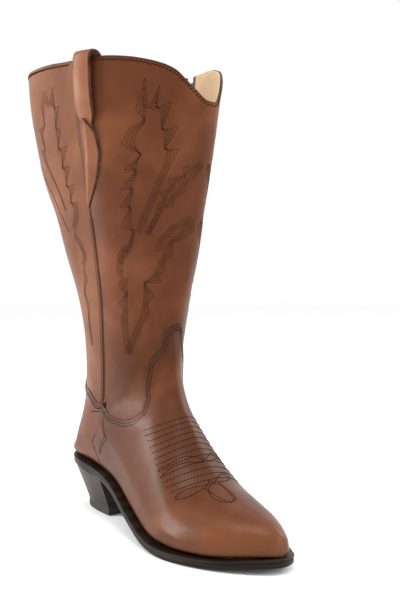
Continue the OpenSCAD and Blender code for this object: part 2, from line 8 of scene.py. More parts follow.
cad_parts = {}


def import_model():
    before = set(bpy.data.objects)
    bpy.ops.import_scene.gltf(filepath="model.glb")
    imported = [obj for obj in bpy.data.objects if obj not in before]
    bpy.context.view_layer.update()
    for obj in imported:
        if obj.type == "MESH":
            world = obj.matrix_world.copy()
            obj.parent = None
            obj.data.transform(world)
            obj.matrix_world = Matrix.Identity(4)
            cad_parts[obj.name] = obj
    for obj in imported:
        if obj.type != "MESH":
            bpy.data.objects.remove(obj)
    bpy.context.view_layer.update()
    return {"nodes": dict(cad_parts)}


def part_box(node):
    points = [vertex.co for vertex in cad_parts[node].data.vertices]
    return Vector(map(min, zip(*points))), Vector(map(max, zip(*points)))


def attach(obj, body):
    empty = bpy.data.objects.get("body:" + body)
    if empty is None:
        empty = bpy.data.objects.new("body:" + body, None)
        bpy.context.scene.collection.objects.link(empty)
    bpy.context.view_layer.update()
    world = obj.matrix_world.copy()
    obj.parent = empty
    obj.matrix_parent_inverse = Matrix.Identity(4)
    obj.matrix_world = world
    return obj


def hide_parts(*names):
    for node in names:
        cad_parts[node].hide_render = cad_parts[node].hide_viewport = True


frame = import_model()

# ---------------------------------------------------------------- frame
# Shapes are worked out in millimetres in the boot's own design frame: x = 0 at the back of
# the heel seat, +x to the toe, -y lateral, +z up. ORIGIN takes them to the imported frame.
MM = 0.001
LIFT_BACK = 17.0
lift_lo, lift_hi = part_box("top_lift")
ORIGIN = np.array([lift_lo[0] - LIFT_BACK * MM, (lift_lo[1] + lift_hi[1]) / 2, lift_lo[2]])


def world(p):
    return np.asarray(p, float) * MM + ORIGIN


# ---------------------------------------------------------------- the skin of the boot
# A fan of section planes, s = 0 at the toe tip to s = 20 above the topline. In a section the angle
# a = 0 is the ridge or front crease, -90 the lateral seam, +90 the zip, 180 the underside or back.
SEAM_X, SEAM_SLOPE, ZIP_Y, ZIP_SLOPE = 74.0, 0.068, 27.25, 0.05
# s, ridge x z, side x z, underside x z, lateral and medial half width, y of the middle, lean of
# the ridge and of the underside, and the powers of the section's curves above and below the side
FOOT = [[0, 271, 19, 271, 15, 271, 10.8, 0, 0, 0, 0, 0, 2, 2.2],
        [1, 269, 25, 269, 15, 269, 10.6, 9, 8, 0, 0, 0, 2, 3],
        [2, 258, 31, 258, 16, 259, 9.7, 20, 16, 0, 0, 0, 1.9, 5],
        [3, 238, 37, 239, 16, 240, 7.7, 34, 27, 0, 0, 0, 1.8, 7],
        [4, 217, 43, 219, 16, 220, 6.9, 43, 35, 0, 0, 0, 1.7, 7],
        [5, 195, 52, 197, 18, 198, 6.8, 47, 39, 0, 0, 0, 1.65, 7],
        [6, 177, 68, 173, 23, 172, 9.5, 46, 38, 0, 0, 0, 1.6, 7],
        [7, 163, 84, 146, 37, 140, 20.5, 41, 34, 0, 1, 0, 1.6, 7],
        [8, 151, 98, 118, 55, 104, 35.5, 36, 32, 0, 1, 0, 1.6, 7],
        [9, 144, 112, 93, 66, 62, 42.3, 33, 31, 0, 2, 0, 1.6, 6]]
# s, front x z, side z, back x z, lateral half width, lean at the front and at the back, powers
SHAFT = [[10, 140, 124, 75, 18, 44.9, 32, 3, 0, 1.6, 5], [11, 138, 137, 90, 6, 50, 31, 4, 0, 1.6, 3],
         [12, 137, 150, 110, 9, 75, 31, 4, 0, 1.6, 2], [13, 138, 163, 133, 18, 105, 32, 6, 0, 1.6, 2],
         [14, 140, 178, 158, 21, 138, 34, 8, -2, 1.6, 2],
         [15, 143, 199, 187, 15, 174, 36.5, 11, -4, 1.6, 2],
         [16, 147, 223, 218, -3, 212, 41.5, 14, -6, 1.6, 2],
         [17, 152, 250, 250, -18, 250, 47.5, 16, -8, 1.6, 2],
         [18, 158, 285, 285, -33, 285, 54.5, 18, -11, 1.6, 2],
         [19, 166, 327, 327, -43, 327, 61.5, 20, -15, 1.6, 2],
         [20, 175, 385, 385, -47, 385, 66, 21, -19, 1.6, 2]]


def seam_x(z):
    return SEAM_X + SEAM_SLOPE * z


def zip_y(z):
    return ZIP_Y + ZIP_SLOPE * z


SECTIONS = np.array(FOOT + [r[:3] + [seam_x(r[3])] + r[3:7] + [zip_y(r[3]), 0] + r[7:] for r in SHAFT])
TOPLINE = 368.0
# Angle and drop of the topline below its level at the side seams
TOP_DROP = np.array([[0, 35], [10, 33], [20, 23], [30, 11], [45, 4], [62, 1], [90, 0], [108, -5], [125, -9],
                     [142, -12], [158, -12], [170, -7], [180, -4]], float)
# Angle and section of the scalloped line between shaft and foot, and of the foot's lower edge
SCALLOP = np.array([[0, 12.9], [9, 12.85], [17, 12.7], [22, 12], [28, 11.6], [37, 11.3], [38.5, 10.2],
                    [40, 9.3], [46, 8.85], [55, 8.8], [63, 9.1], [70, 9.8], [80, 10.7], [90, 11.3],
                    [102, 11.8], [115, 12.3], [140, 12.9], [165, 13.3], [180, 13.5]], float)
UNDERFOOT = np.array([[90, 9.9], [96, 9.3], [104, 8.9], [118, 8.7], [132, 8.6], [180, 8.5]], float)
ZIP_FOOT = 10.15
# x, lateral y, medial y and height of the top of the welt along the sole's outline
SOLE = np.array([[3, -0.6, 0.6, 48], [5, -11, 11, 47], [14, -23, 22, 44.5], [38, -32, 30.5, 42.8],
                 [70, -35, 33, 41], [104, -39, 32, 35], [140, -45, 36, 20], [172, -50, 41, 9],
                 [196, -51, 43, 6.35], [218, -47, 39, 6.35], [240, -38, 31, 7.2], [259, -25, 20, 9.2],
                 [270, -13, 12, 10.2], [275, -1, 1, 10.6]], float)


def curve(t, x):
    """Smooth curve through a table; the first column is the parameter. Returns (..., columns)."""
    x = np.asarray(x, float)
    k = t[:, 0]
    i = np.clip(np.searchsorted(k, x, side="right") - 1, 0, len(k) - 2)
    lo, hi = np.maximum(np.arange(len(k)) - 1, 0), np.minimum(np.arange(len(k)) + 1, len(k) - 1)
    m = (t[hi] - t[lo]) / (k[hi] - k[lo])[:, None]
    h = (k[i + 1] - k[i])[..., None]
    u = ((x - k[i])[..., None]) / h
    u2, u3 = u * u, u * u * u
    near = (2 * u3 - 3 * u2 + 1) * t[i] + (u3 - 2 * u2 + u) * h * m[i]
    return near + (3 * u2 - 2 * u3) * t[i + 1] + (u3 - u2) * h * m[i + 1]


def wrap(a):
    return (np.asarray(a, float) + 180.0) % 360.0 - 180.0


def bare_skin(s, a):
    s, a = np.broadcast_arrays(np.asarray(s, float), wrap(a))
    r = curve(SECTIONS, s)
    ang = np.radians(a)
    front = np.abs(a) <= 90
    e = 2 / np.where(front, r[..., 12], r[..., 13])
    k, m = np.abs(np.cos(ang)) ** e, np.abs(np.sin(ang)) ** e
    x = r[..., 3] + (np.where(front, r[..., 1], r[..., 5]) - r[..., 3]) * k
    half = np.where(a < 0, r[..., 7], r[..., 8])
    y = r[..., 9] + np.where(front, r[..., 10], r[..., 11]) * k * k + np.sign(a) * half * m
    z = r[..., 4] + (np.where(front, r[..., 2], r[..., 6]) - r[..., 4]) * k
    return np.stack([x, y, z], -1)


def inward(s, a):
    """Unit normal of the skin, pointing into the boot."""
    along = bare_skin(s + 0.04, a) - bare_skin(s - 0.04, a)
    n = np.cross(along, bare_skin(s, a + 1.5) - bare_skin(s, a - 1.5))
    return n / np.linalg.norm(n, axis=-1, keepdims=True)


def relief(s, a, p):
    """Soft waves of worn leather, in mm outward. None beside the zip, none on the toe."""
    quiet = 1 - np.exp(-((wrap(a) - 90) / 16) ** 2)
    calf = np.clip((s - 13) / 3, 0, 1)
    ankle = np.exp(-((s - 11.0) / 1.3) ** 2)
    z, x = p[..., 2], p[..., 0]
    waves = 0.45 * np.sin(z / 21 + x / 37 + 0.6) * np.sin(x / 19 - z / 55) + 0.3 * np.sin(z / 11 - x / 26)
    folds = 0.5 * np.sin(z / 5.5 + 0.9 * np.sin(x / 17)) * (0.5 + 0.5 * np.cos(np.radians(wrap(a)) * 2))
    return quiet * (calf * waves + ankle * 0.5 * folds)


def deep(s, a, d):
    """Point at depth d below the skin, in mm; a negative depth stands outside it."""
    s, a, d = np.broadcast_arrays(np.asarray(s, float), np.asarray(a, float), np.asarray(d, float))
    p = bare_skin(s, a)
    return p + inward(s, a) * (d - relief(s, a, p))[..., None]


def run_of(s, front):
    r = curve(SECTIONS, s)
    return (r[..., 1] - r[..., 3], r[..., 12]) if front else (r[..., 3] - r[..., 5], r[..., 13])


def beside(s, dx, side):
    """Angle of the point dx toward the front (+) or the back (-) of a side seam."""
    run, n = run_of(s, dx >= 0)
    c = np.degrees(np.arccos((abs(dx) / run) ** (n / 2)))
    return side * (c if dx >= 0 else 180 - c)


def level(z, a):
    """Section whose point at angle a stands at height z."""
    z, a = np.broadcast_arrays(np.asarray(z, float), np.asarray(a, float))
    lo, hi = np.full(z.shape, 9.0), np.full(z.shape, 20.0)
    for _ in range(30):
        m = (lo + hi) / 2
        low = bare_skin(m, a)[..., 2] < z
        lo, hi = np.where(low, m, lo), np.where(low, hi, m)
    return (lo + hi) / 2


def topline(a, below=0.0):
    return level(TOPLINE - curve(TOP_DROP, np.abs(wrap(a)))[..., 1] - below, a)


def table(t, x):
    return np.interp(x, t[:, 0], t[:, 1])


def scallop(a):
    return table(SCALLOP, np.abs(wrap(a)))


# ---------------------------------------------------------------- meshes
def build(name, verts, faces, mats, body, replaces=(), face_mat=None, burnish_and_shade=None, angle=38.0):
    """One piece from millimetre vertices; burnish_and_shade is (n, 3): burnish with painted shade along
    edges, painted shade by the welt, and crease shares.
    """
    mesh = bpy.data.meshes.new(name)
    mesh.from_pydata(world(verts).tolist(), [], [list(map(int, f)) for f in faces])
    if face_mat is not None:
        mesh.polygons.foreach_set("material_index", np.asarray(face_mat, np.int32))
    # The vertex colours carry painted shade: dark edges, partly real burnish, and darkening above the welt.
    if burnish_and_shade is not None:
        col = mesh.color_attributes.new("burnish_and_shade", "FLOAT_COLOR", "POINT")
        rgba = np.ones((len(verts), 4), np.float32)
        rgba[:, :3] = burnish_and_shade
        col.data.foreach_set("color", rgba.ravel())
    bm = bmesh.new()
    bm.from_mesh(mesh)
    bmesh.ops.remove_doubles(bm, verts=bm.verts, dist=2e-6)
    bmesh.ops.recalc_face_normals(bm, faces=bm.faces)
    bm.to_mesh(mesh)
    bm.free()
    mesh.polygons.foreach_set("use_smooth", np.ones(len(mesh.polygons), bool))
    mesh.set_sharp_from_angle(angle=math.radians(angle))
    obj = bpy.data.objects.new(name, mesh)
    bpy.context.scene.collection.objects.link(obj)
    for m in mats:
        mesh.materials.append(m)
    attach(obj, body)
    if replaces:
        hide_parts(*replaces)
    return obj


def grid_faces(n, m, base=0, flip=False):
    i, j = np.meshgrid(np.arange(n - 1), np.arange(m - 1), indexing="ij")
    a = base + i * m + j
    f = np.stack([a, a + m, a + m + 1, a + 1], -1).reshape(-1, 4)
    return f[:, ::-1] if flip else f


def closed_sheet(outer, inner, cap_first=False):
    """Verts, faces and rim mask of the closed solid between two grids (rows, cols, 3)."""
    n, m = outer.shape[:2]
    base = n * m
    verts = np.concatenate([outer.reshape(-1, 3), inner.reshape(-1, 3)])
    f = [grid_faces(n, m), grid_faces(n, m, base, True)]

    def wall(a, c):
        return np.stack([a, a + base, c + base, c], -1)

    last, left = (n - 1) * m + np.arange(m - 1), np.arange(n - 1) * m
    walls = [wall(last, last + 1), wall(left + m, left), wall(left + m - 1, left + 2 * m - 1)]
    if cap_first:
        h = np.arange(m // 2)
        rung = np.stack([h, h + 1, m - 2 - h, m - 1 - h], -1)[: m // 2 - 1]
        walls.append(rung + base)
        walls.append(rung[:, ::-1])
    else:
        walls.append(wall(np.arange(1, m), np.arange(m - 1)))
    faces = np.concatenate(f + walls)
    rim = np.zeros(len(faces), int)
    rim[sum(map(len, f)):] = 1
    return verts, faces, rim


def sheet_piece(name, outer, inner, mats, nodes, cap=False, burnish_and_shade=None):
    """One sewn piece between two grids; its cut edges take the second material, if there is one."""
    verts, faces, rim = closed_sheet(np.asarray(outer), np.asarray(inner), cap)
    if burnish_and_shade is not None:
        burnish_and_shade = np.concatenate([np.reshape(burnish_and_shade, (-1, 3))] * 2)
    return build(name, verts, faces, mats, "boot", nodes, rim if len(mats) > 1 else None, burnish_and_shade)


def dense(points, step=0.4):
    """A polyline resampled evenly."""
    p = np.asarray(points, float)
    d = np.r_[0, np.cumsum(np.linalg.norm(np.diff(p, axis=0), axis=1))]
    t = np.linspace(0, d[-1], max(2, int(d[-1] / step) + 1))
    return np.stack([np.interp(t, d, p[:, k]) for k in range(p.shape[1])], -1)


def distance(p, line):
    """Distance in mm from each point to a polyline."""
    pts = dense(line)
    tree = KDTree(len(pts))
    for i, q in enumerate(pts):
        tree.insert(q, i)
    tree.balance()
    return np.array([tree.find(q)[2] for q in p.reshape(-1, 3)]).reshape(p.shape[:-1])


def rolled(dist, radius):
    """How far a rounded edge falls away at a distance from that edge."""
    t = np.clip(1 - dist / radius, 0, 1)
    return radius * (1 - np.sqrt(1 - t * t))


def steps(lo, hi, step, extra=()):
    """Even values from lo to hi with clusters about each value in extra."""
    v = list(np.linspace(lo, hi, int(abs(hi - lo) / step) + 1))
    for e in extra:
        v += [e + d for d in (-3.2, -2.4, -1.7, -1.1, -0.6, -0.2, 0.2, 0.6, 1.1, 1.7, 2.4, 3.2)]
    return np.unique(np.round([x for x in v if lo <= x <= hi], 3))


def eased_ends(n):
    """Shares from 0 to 1, close together at both ends."""
    t = np.linspace(0, 1, n)
    near = t[1] * np.array([0.06, 0.15, 0.3, 0.5, 0.75])
    return np.unique(np.r_[t, near, 1 - near])


# ---------------------------------------------------------------- materials
def material(name):
    m = bpy.data.materials.new(name)
    m.use_nodes = True
    nt = m.node_tree
    nt.nodes.clear()
    out = nt.nodes.new("ShaderNodeOutputMaterial")
    bsdf = nt.nodes.new("ShaderNodeBsdfPrincipled")
    nt.links.new(bsdf.outputs[0], out.inputs[0])
    return m, nt, bsdf


def node(nt, kind, inputs=None, **props):
    n = nt.nodes.new("ShaderNode" + kind)
    for k, v in props.items():
        setattr(n, k, v)
    for k, v in (inputs or {}).items():
        sock = n.inputs[k]
        if isinstance(v, bpy.types.NodeSocket):
            nt.links.new(v, sock)
        else:
            sock.default_value = v
    return n


def coords(nt, scale=(1, 1, 1), rot=(0, 0, 0)):
    tc = node(nt, "TexCoord")
    return node(nt, "Mapping", {"Vector": tc.outputs["Object"], "Scale": scale, "Rotation": rot}).outputs[0]


def noise(nt, vec, scale, detail=4, rough=0.55, distort=0.0):
    return node(nt, "TexNoise", {"Vector": vec, "Scale": scale, "Detail": detail, "Roughness": rough,
                                 "Distortion": distort}).outputs["Fac"]


def ramp(nt, fac, stops):
    n = node(nt, "ValToRGB", {"Fac": fac})
    cr = n.color_ramp
    while len(cr.elements) < len(stops):
        cr.elements.new(0.5)
    for e, (pos, col) in zip(cr.elements, stops):
        e.position = pos
        e.color = (*col, 1) if len(col) == 3 else col
    return n.outputs["Color"]


def spread(nt, fac, lo, hi, a=0.0, b=1.0):
    limits = {"From Min": a, "From Max": b, "To Min": lo, "To Max": hi}
    return node(nt, "MapRange", {"Value": fac, **limits}).outputs[0]


def blend_colour(nt, fac, a, b, mode="MIX"):
    n = node(nt, "Mix", data_type="RGBA", blend_type=mode)
    for sock, v in ((n.inputs[0], fac), (n.inputs[6], a), (n.inputs[7], b)):
        if isinstance(v, bpy.types.NodeSocket):
            nt.links.new(v, sock)
        else:
            sock.default_value = (*v, 1) if isinstance(v, tuple) and len(v) == 3 else v
    return n.outputs[2]


def maths(nt, op, a, b=0.0):
    n = node(nt, "Math", operation=op)
    for k, v in enumerate((a, b)):
        if isinstance(v, bpy.types.NodeSocket):
            nt.links.new(v, n.inputs[k])
        else:
            n.inputs[k].default_value = v
    return n.outputs[0]


def bump(nt, bsdf, layers):
    """layers: (height socket, strength, distance in metres) from broad to fine."""
    normal = None
    for height, strength, dist in layers:
        inputs = {"Height": height, "Strength": strength, "Distance": dist}
        if normal is not None:
            inputs["Normal"] = normal
        normal = node(nt, "Bump", inputs).outputs[0]
    nt.links.new(normal, bsdf.inputs["Normal"])


# Dark of burnished edges, used as well for painted shade along seams, overlaps and raised edges.
BURNISH_AND_SHADE, SHINE = (0.018, 0.005, 0.0025), (1.0, 0.8, 0.68)


def leather(name, dark, mid, light, rough=0.4, gloss=0.2):
    """Waxed leather in cloudy shades, with pores and pull marks; painted shade darkens it along edges, seams
    and overlaps (partly burnish) and towards the welt.
    """
    m, nt, b = material(name)
    p = coords(nt)
    patches = noise(nt, p, 11, 3, 0.6, 0.4)
    cloud = noise(nt, p, 55, 5, 0.6)
    colour = ramp(nt, patches, [(0.32, dark), (0.52, mid), (0.7, light)])
    colour = blend_colour(nt, spread(nt, cloud, 0.0, 0.55, 0.35, 0.75), colour,
                          blend_colour(nt, 1.0, colour, (0.78, 0.74, 0.7), "MULTIPLY"))
    streak = noise(nt, coords(nt, (1, 1, 0.12)), 420, 3, 0.7)
    colour = blend_colour(nt, spread(nt, streak, 0.0, 0.22, 0.55, 0.8), colour, light)
    # Painted shade from the vertex colours: the first share darkens edges and seams (partly burnish), the
    # second darkens the upper towards the welt.
    burnish_and_shade = node(nt, "VertexColor", layer_name="burnish_and_shade").outputs[0]
    parts = node(nt, "SeparateColor", {"Color": burnish_and_shade})
    rubbed_and_shaded = maths(nt, "MULTIPLY", parts.outputs[0], spread(nt, noise(nt, p, 160, 3), 0.65, 1.0, 0.35, 0.6))
    colour = blend_colour(nt, rubbed_and_shaded, colour, BURNISH_AND_SHADE)
    colour = blend_colour(nt, maths(nt, "MULTIPLY", parts.outputs[1], 0.6), colour, dark)
    nt.links.new(colour, b.inputs["Base Color"])
    r = spread(nt, cloud, rough - 0.07, rough + 0.09, 0.3, 0.7)
    r = maths(nt, "ADD", r, spread(nt, noise(nt, p, 700, 2), -0.03, 0.05, 0.3, 0.7))
    nt.links.new(r, b.inputs["Roughness"])
    b.inputs["Specular IOR Level"].default_value = 0.14
    b.inputs["Specular Tint"].default_value = (*SHINE, 1)
    b.inputs["Coat Weight"].default_value = gloss * 0.35
    b.inputs["Coat Roughness"].default_value = 0.2
    b.inputs["Coat IOR"].default_value = 1.4
    cells = node(nt, "TexVoronoi", {"Vector": p, "Scale": 950.0, "Randomness": 0.9},
                 feature="DISTANCE_TO_EDGE").outputs["Distance"]
    pores = spread(nt, cells, 0.0, 1.0, 0.0, 0.22)
    fine = noise(nt, p, 2600, 3, 0.6)
    pull = noise(nt, coords(nt, (1, 1, 0.3)), 130, 3, 0.5, 0.6)
    bump(nt, b, [(pull, 0.12, 0.0008), (pores, 0.22, 0.00012), (fine, 0.2, 0.00008)])
    return m


def plain_leather(name, col, rough=0.7, vary=0.12, scale=1400.0):
    """Unfinished or lining leather: soft nap, faint pores and stains."""
    m, nt, b = material(name)
    p = coords(nt)
    cloud = noise(nt, p, 30, 5, 0.6)
    lo = tuple(c * (1 - vary * 2) for c in col)
    hi = tuple(min(1, c * (1 + vary)) for c in col)
    colour = ramp(nt, cloud, [(0.3, lo), (0.7, hi)])
    speck = noise(nt, p, scale, 2, 0.6)
    colour = blend_colour(nt, spread(nt, speck, 0.0, 0.3, 0.5, 0.75), colour, lo)
    nt.links.new(colour, b.inputs["Base Color"])
    nt.links.new(spread(nt, cloud, rough - 0.06, rough + 0.08, 0.3, 0.7), b.inputs["Roughness"])
    b.inputs["Sheen Weight"].default_value = 0.15
    b.inputs["Sheen Roughness"].default_value = 0.5
    bump(nt, b, [(noise(nt, p, 260, 3), 0.15, 0.0004), (speck, 0.25, 0.0001)])
    return m


def thread(name, col):
    m, nt, b = material(name)
    p = coords(nt)
    twist = node(nt, "TexWave", {"Vector": coords(nt, rot=(0.6, 0.7, 0.5)), "Scale": 900.0, "Distortion": 1.5,
                                 "Detail": 2.0}, bands_direction="DIAGONAL").outputs["Fac"]
    colour = ramp(nt, maths(nt, "MULTIPLY", maths(nt, "ADD", twist, noise(nt, p, 300, 2)), 0.5),
                  [(0.25, tuple(c * 0.55 for c in col)), (0.75, tuple(min(1, c * 1.5) for c in col))])
    nt.links.new(colour, b.inputs["Base Color"])
    b.inputs["Roughness"].default_value = 0.62
    b.inputs["Specular IOR Level"].default_value = 0.05
    bump(nt, b, [(twist, 0.4, 0.0001)])
    return m


def metal(name, col, rough=0.28, scratch=0.1):
    m, nt, b = material(name)
    p = coords(nt)
    cloud = noise(nt, p, 240, 4, 0.6)
    colour = ramp(nt, cloud, [(0.3, tuple(c * 0.6 for c in col)), (0.6, col)])
    nt.links.new(colour, b.inputs["Base Color"])
    b.inputs["Metallic"].default_value = 1.0
    brushed = noise(nt, coords(nt, (1, 1, 0.06)), 5200, 2)
    nt.links.new(spread(nt, brushed, rough - 0.06, rough + 0.16, 0.3, 0.7), b.inputs["Roughness"])
    bump(nt, b, [(brushed, scratch, 0.00005)])
    return m


def edge_stack(name, dark, light, layer, rough=0.42, tint=0.35):
    """Dyed and waxed leather edge: faint level layers, fibres and rub marks."""
    m, nt, b = material(name)
    p = coords(nt)
    layers = node(nt, "TexWave", {"Vector": coords(nt, rot=(0, 0.02, 0)), "Scale": layer, "Distortion": 0.6,
                                  "Detail": 3.0, "Detail Scale": 3.0}, bands_direction="Z").outputs["Fac"]
    fibre = noise(nt, coords(nt, (1, 1, 7)), 330, 4, 0.65)
    f = maths(nt, "ADD", maths(nt, "MULTIPLY", layers, tint), maths(nt, "MULTIPLY", fibre, 1 - tint))
    colour = ramp(nt, f, [(0.3, dark), (0.72, light)])
    rub = noise(nt, p, 60, 5, 0.6)
    colour = blend_colour(nt, spread(nt, rub, 0.0, 0.35, 0.5, 0.75), colour, light)
    nt.links.new(colour, b.inputs["Base Color"])
    nt.links.new(spread(nt, fibre, rough - 0.08, rough + 0.12, 0.3, 0.7), b.inputs["Roughness"])
    b.inputs["Specular IOR Level"].default_value = 0.1
    b.inputs["Coat Weight"].default_value = 0.03
    b.inputs["Coat Roughness"].default_value = 0.3
    bump(nt, b, [(layers, 0.15, 0.0002), (fibre, 0.3, 0.0001)])
    return m


def woven(name, col, pitch, rough=0.8):
    """Woven tape: crossed threads at the pitch given in metres."""
    m, nt, b = material(name)
    k = 0.5 / pitch
    warp, weft = [node(nt, "TexWave", {"Vector": coords(nt), "Scale": k, "Distortion": 0.2},
                       bands_direction=way).outputs["Fac"] for way in "ZX"]
    w = maths(nt, "MULTIPLY", warp, weft)
    soiled = maths(nt, "MULTIPLY", noise(nt, coords(nt), 90, 3), 0.4)
    colour = ramp(nt, maths(nt, "ADD", maths(nt, "MULTIPLY", w, 0.6), soiled),
                  [(0.2, tuple(c * 0.5 for c in col)), (0.7, col)])
    nt.links.new(colour, b.inputs["Base Color"])
    b.inputs["Roughness"].default_value = rough
    b.inputs["Sheen Weight"].default_value = 0.3
    bump(nt, b, [(w, 0.5, 0.0002)])
    return m


def granular(name, a, c, scale, rough=0.85, depth=0.0004):
    """Cork, fibre board and the like: mixed grains of two colours."""
    m, nt, b = material(name)
    p = coords(nt)
    v = node(nt, "TexVoronoi", {"Vector": p, "Scale": scale, "Randomness": 1.0})
    g = node(nt, "SeparateColor", {"Color": v.outputs["Color"]}).outputs[0]
    colour = ramp(nt, g, [(0.1, a), (0.6, c), (0.95, tuple(x * 0.6 for x in a))])
    colour = blend_colour(nt, spread(nt, noise(nt, p, scale * 3, 3), 0.0, 0.4, 0.4, 0.7), colour, a)
    nt.links.new(colour, b.inputs["Base Color"])
    nt.links.new(spread(nt, g, rough - 0.08, min(rough + 0.1, 1), 0, 1), b.inputs["Roughness"])
    bump(nt, b, [(v.outputs["Distance"], 0.4, depth)])
    return m


M_SHAFT = leather("leather_shaft", (0.06, 0.017, 0.006), (0.1, 0.029, 0.01), (0.17, 0.055, 0.021), 0.4)
M_BACK = leather("leather_back", (0.085, 0.025, 0.008), (0.12, 0.037, 0.012), (0.165, 0.058, 0.02), 0.42)
M_VAMP = leather("leather_vamp", (0.05, 0.014, 0.0055), (0.08, 0.023, 0.0085), (0.14, 0.046, 0.018), 0.36,
                 gloss=0.36)
M_COVER = leather("leather_counter", (0.075, 0.023, 0.009), (0.11, 0.035, 0.014), (0.15, 0.053, 0.022), 0.42)
M_STRAP = leather("leather_strap", (0.14, 0.05, 0.023), (0.2, 0.075, 0.036), (0.28, 0.12, 0.062), 0.42)
M_PIPING = leather("leather_piping", (0.06, 0.02, 0.01), (0.085, 0.03, 0.014), (0.12, 0.045, 0.022), 0.45)
M_EDGE = plain_leather("cut_edge", (0.035, 0.014, 0.008), 0.55)
M_LINING = plain_leather("lining_leather", (0.56, 0.37, 0.2), 0.62)
M_GUARD = plain_leather("guard_leather", (0.5, 0.32, 0.17), 0.62)
M_THREAD = thread("thread_brown", (0.012, 0.004, 0.002))
M_WELT = edge_stack("welt_edge", (0.008, 0.005, 0.004), (0.025, 0.015, 0.011), 60.0, 0.4)
M_SOLE = edge_stack("sole_edge", (0.007, 0.0035, 0.0025), (0.018, 0.01, 0.0075), 120.0, 0.42)
M_HEEL = edge_stack("heel_stack", (0.016, 0.01, 0.0085), (0.03, 0.021, 0.018), 55.0, 0.4, 0.2)
M_LIFT = granular("lift_rubber", (0.012, 0.01, 0.009), (0.03, 0.026, 0.024), 900.0, 0.8, 0.0002)
M_TAPE = woven("zip_tape_weave", (0.045, 0.022, 0.014), 0.0009)
M_BRASS = metal("brass", (0.62, 0.42, 0.2), 0.3)
M_STEEL = metal("steel", (0.55, 0.55, 0.56), 0.35)
M_CORK = granular("cork", (0.42, 0.25, 0.12), (0.62, 0.42, 0.22), 420.0)
M_BOARD = granular("fibre_board", (0.42, 0.3, 0.18), (0.52, 0.4, 0.26), 1300.0)
M_STIFF = granular("stiffener", (0.3, 0.27, 0.2), (0.4, 0.37, 0.29), 1600.0)
M_SOCK = plain_leather("sock_leather", (0.52, 0.34, 0.18), 0.66)


# ---------------------------------------------------------------- upper, outside pieces
THICK = 1.8
LIP = 0.8          # how far the vamp and the counter stand over the shaft along the scalloped line


def vamp_end(a):
    a = np.asarray(a, float)
    inner = scallop(a) + 0.03
    by_zip = np.interp(a, [80.6, 81.0], [float(scallop(80.6)), ZIP_FOOT])
    inner = np.where(a > 80.6, by_zip, inner)
    under = table(UNDERFOOT, np.abs(a))
    low = np.interp(np.abs(a), [90.0, 90.3], [0.0, 1.0])
    edge = np.where(a < 0, float(scallop(90)), ZIP_FOOT)
    return np.where(np.abs(a) <= 90, inner, np.where(np.abs(a) < 90.3, edge * (1 - low) + under * low, under))


def cover_end(a):
    b = np.abs(wrap(a))
    end = scallop(b) + 0.03
    return np.where((a < 92.7), np.interp(a, [92.3, 92.7], [ZIP_FOOT, float(scallop(92.7))]), end)


def upper_piece(name, s, a, lines, mats, nodes, cap=False, s_inner=None):
    """A leather piece over the grid s, a. lines: (boundary points, edge radius, raised lip?)."""
    skin0 = deep(s, a, 0.0)
    d = np.zeros(s.shape)
    burnish_and_shade = np.zeros(s.shape + (3,))
    for pts, radius, raised in lines:
        dist = distance(skin0, pts)
        if raised:
            d = d - LIP * np.exp(-(dist / 6) ** 2)
            d = d + 0.14 * np.exp(-((dist - 2.2) / 0.6) ** 2) + 0.14 * np.exp(-((dist - 4.4) / 0.6) ** 2)
        d = d + rolled(dist, radius)
        # Painted shade along the scalloped edge and the back seam, partly burnished edge dye.
        burnish_and_shade[..., 0] = np.maximum(burnish_and_shade[..., 0], 0.85 * np.exp(-(dist / 0.9) ** 2) + 0.25 * np.exp(-dist / 4))
    outer = deep(s, a, d)
    # Painted shade where the upper meets the welt: darker within a few mm of it.
    above_welt = outer[..., 2] - curve(SOLE, np.clip(outer[..., 0], 3, 275))[..., 3]
    burnish_and_shade[..., 1] = np.exp(-np.maximum(above_welt, 0) / 5)
    inner = deep(s if s_inner is None else s_inner, a, THICK)
    sheet_piece(name, outer, inner, mats, nodes, cap, burnish_and_shade)


def line_of(f, lo, hi, n=900):
    a = np.linspace(lo, hi, n)
    return deep(f(a), a, 0.0)


# Vamp: columns of equal angle, rows from the toe tip to the scalloped line
a_vamp = steps(-160, 160, 1.6, (-90.0, -38.5, 38.5, 81.0, 90.0))
t_vamp = np.r_[0, 0.0015, 0.004, 0.008, 0.014, 0.022, 0.033, 0.047, 0.062, np.linspace(0.078, 0.94, 82),
               0.95, 0.96, 0.97, 0.978, 0.985, 0.99, 0.994, 0.997, 1.0]
end = vamp_end(a_vamp)
S = t_vamp[:, None] * end[None, :]
A = np.broadcast_to(a_vamp, S.shape)
S_in = 0.8 + t_vamp[:, None] * (end[None, :] - 0.8)
EDGE_R = 0.55
vamp_line = line_of(vamp_end, -89.99, 89.99)
upper_piece("vamp_skin", S, A, [(vamp_line, EDGE_R, True)], [M_VAMP, M_EDGE], ["vamp"],
            cap=True, s_inner=S_in)

# Heel counter cover
a_cover = steps(90.4, 269.9, 1.8, (92.5, 269.9))
t_cover = eased_ends(60)
lo_c = table(UNDERFOOT, np.abs(wrap(a_cover))) + 0.05
S = lo_c + t_cover[:, None] * (cover_end(a_cover) - lo_c)
A = np.broadcast_to(a_cover, S.shape)
side = deep(np.linspace(9.9, 11.3, 60), np.full(60, 269.9), 0.0)
cover_line = line_of(cover_end, 90.4, 269.9)
upper_piece("counter_skin", S, A, [(cover_line, EDGE_R, True), (side, 0.5, False)], [M_COVER, M_EDGE],
            ["heel_counter_cover"])


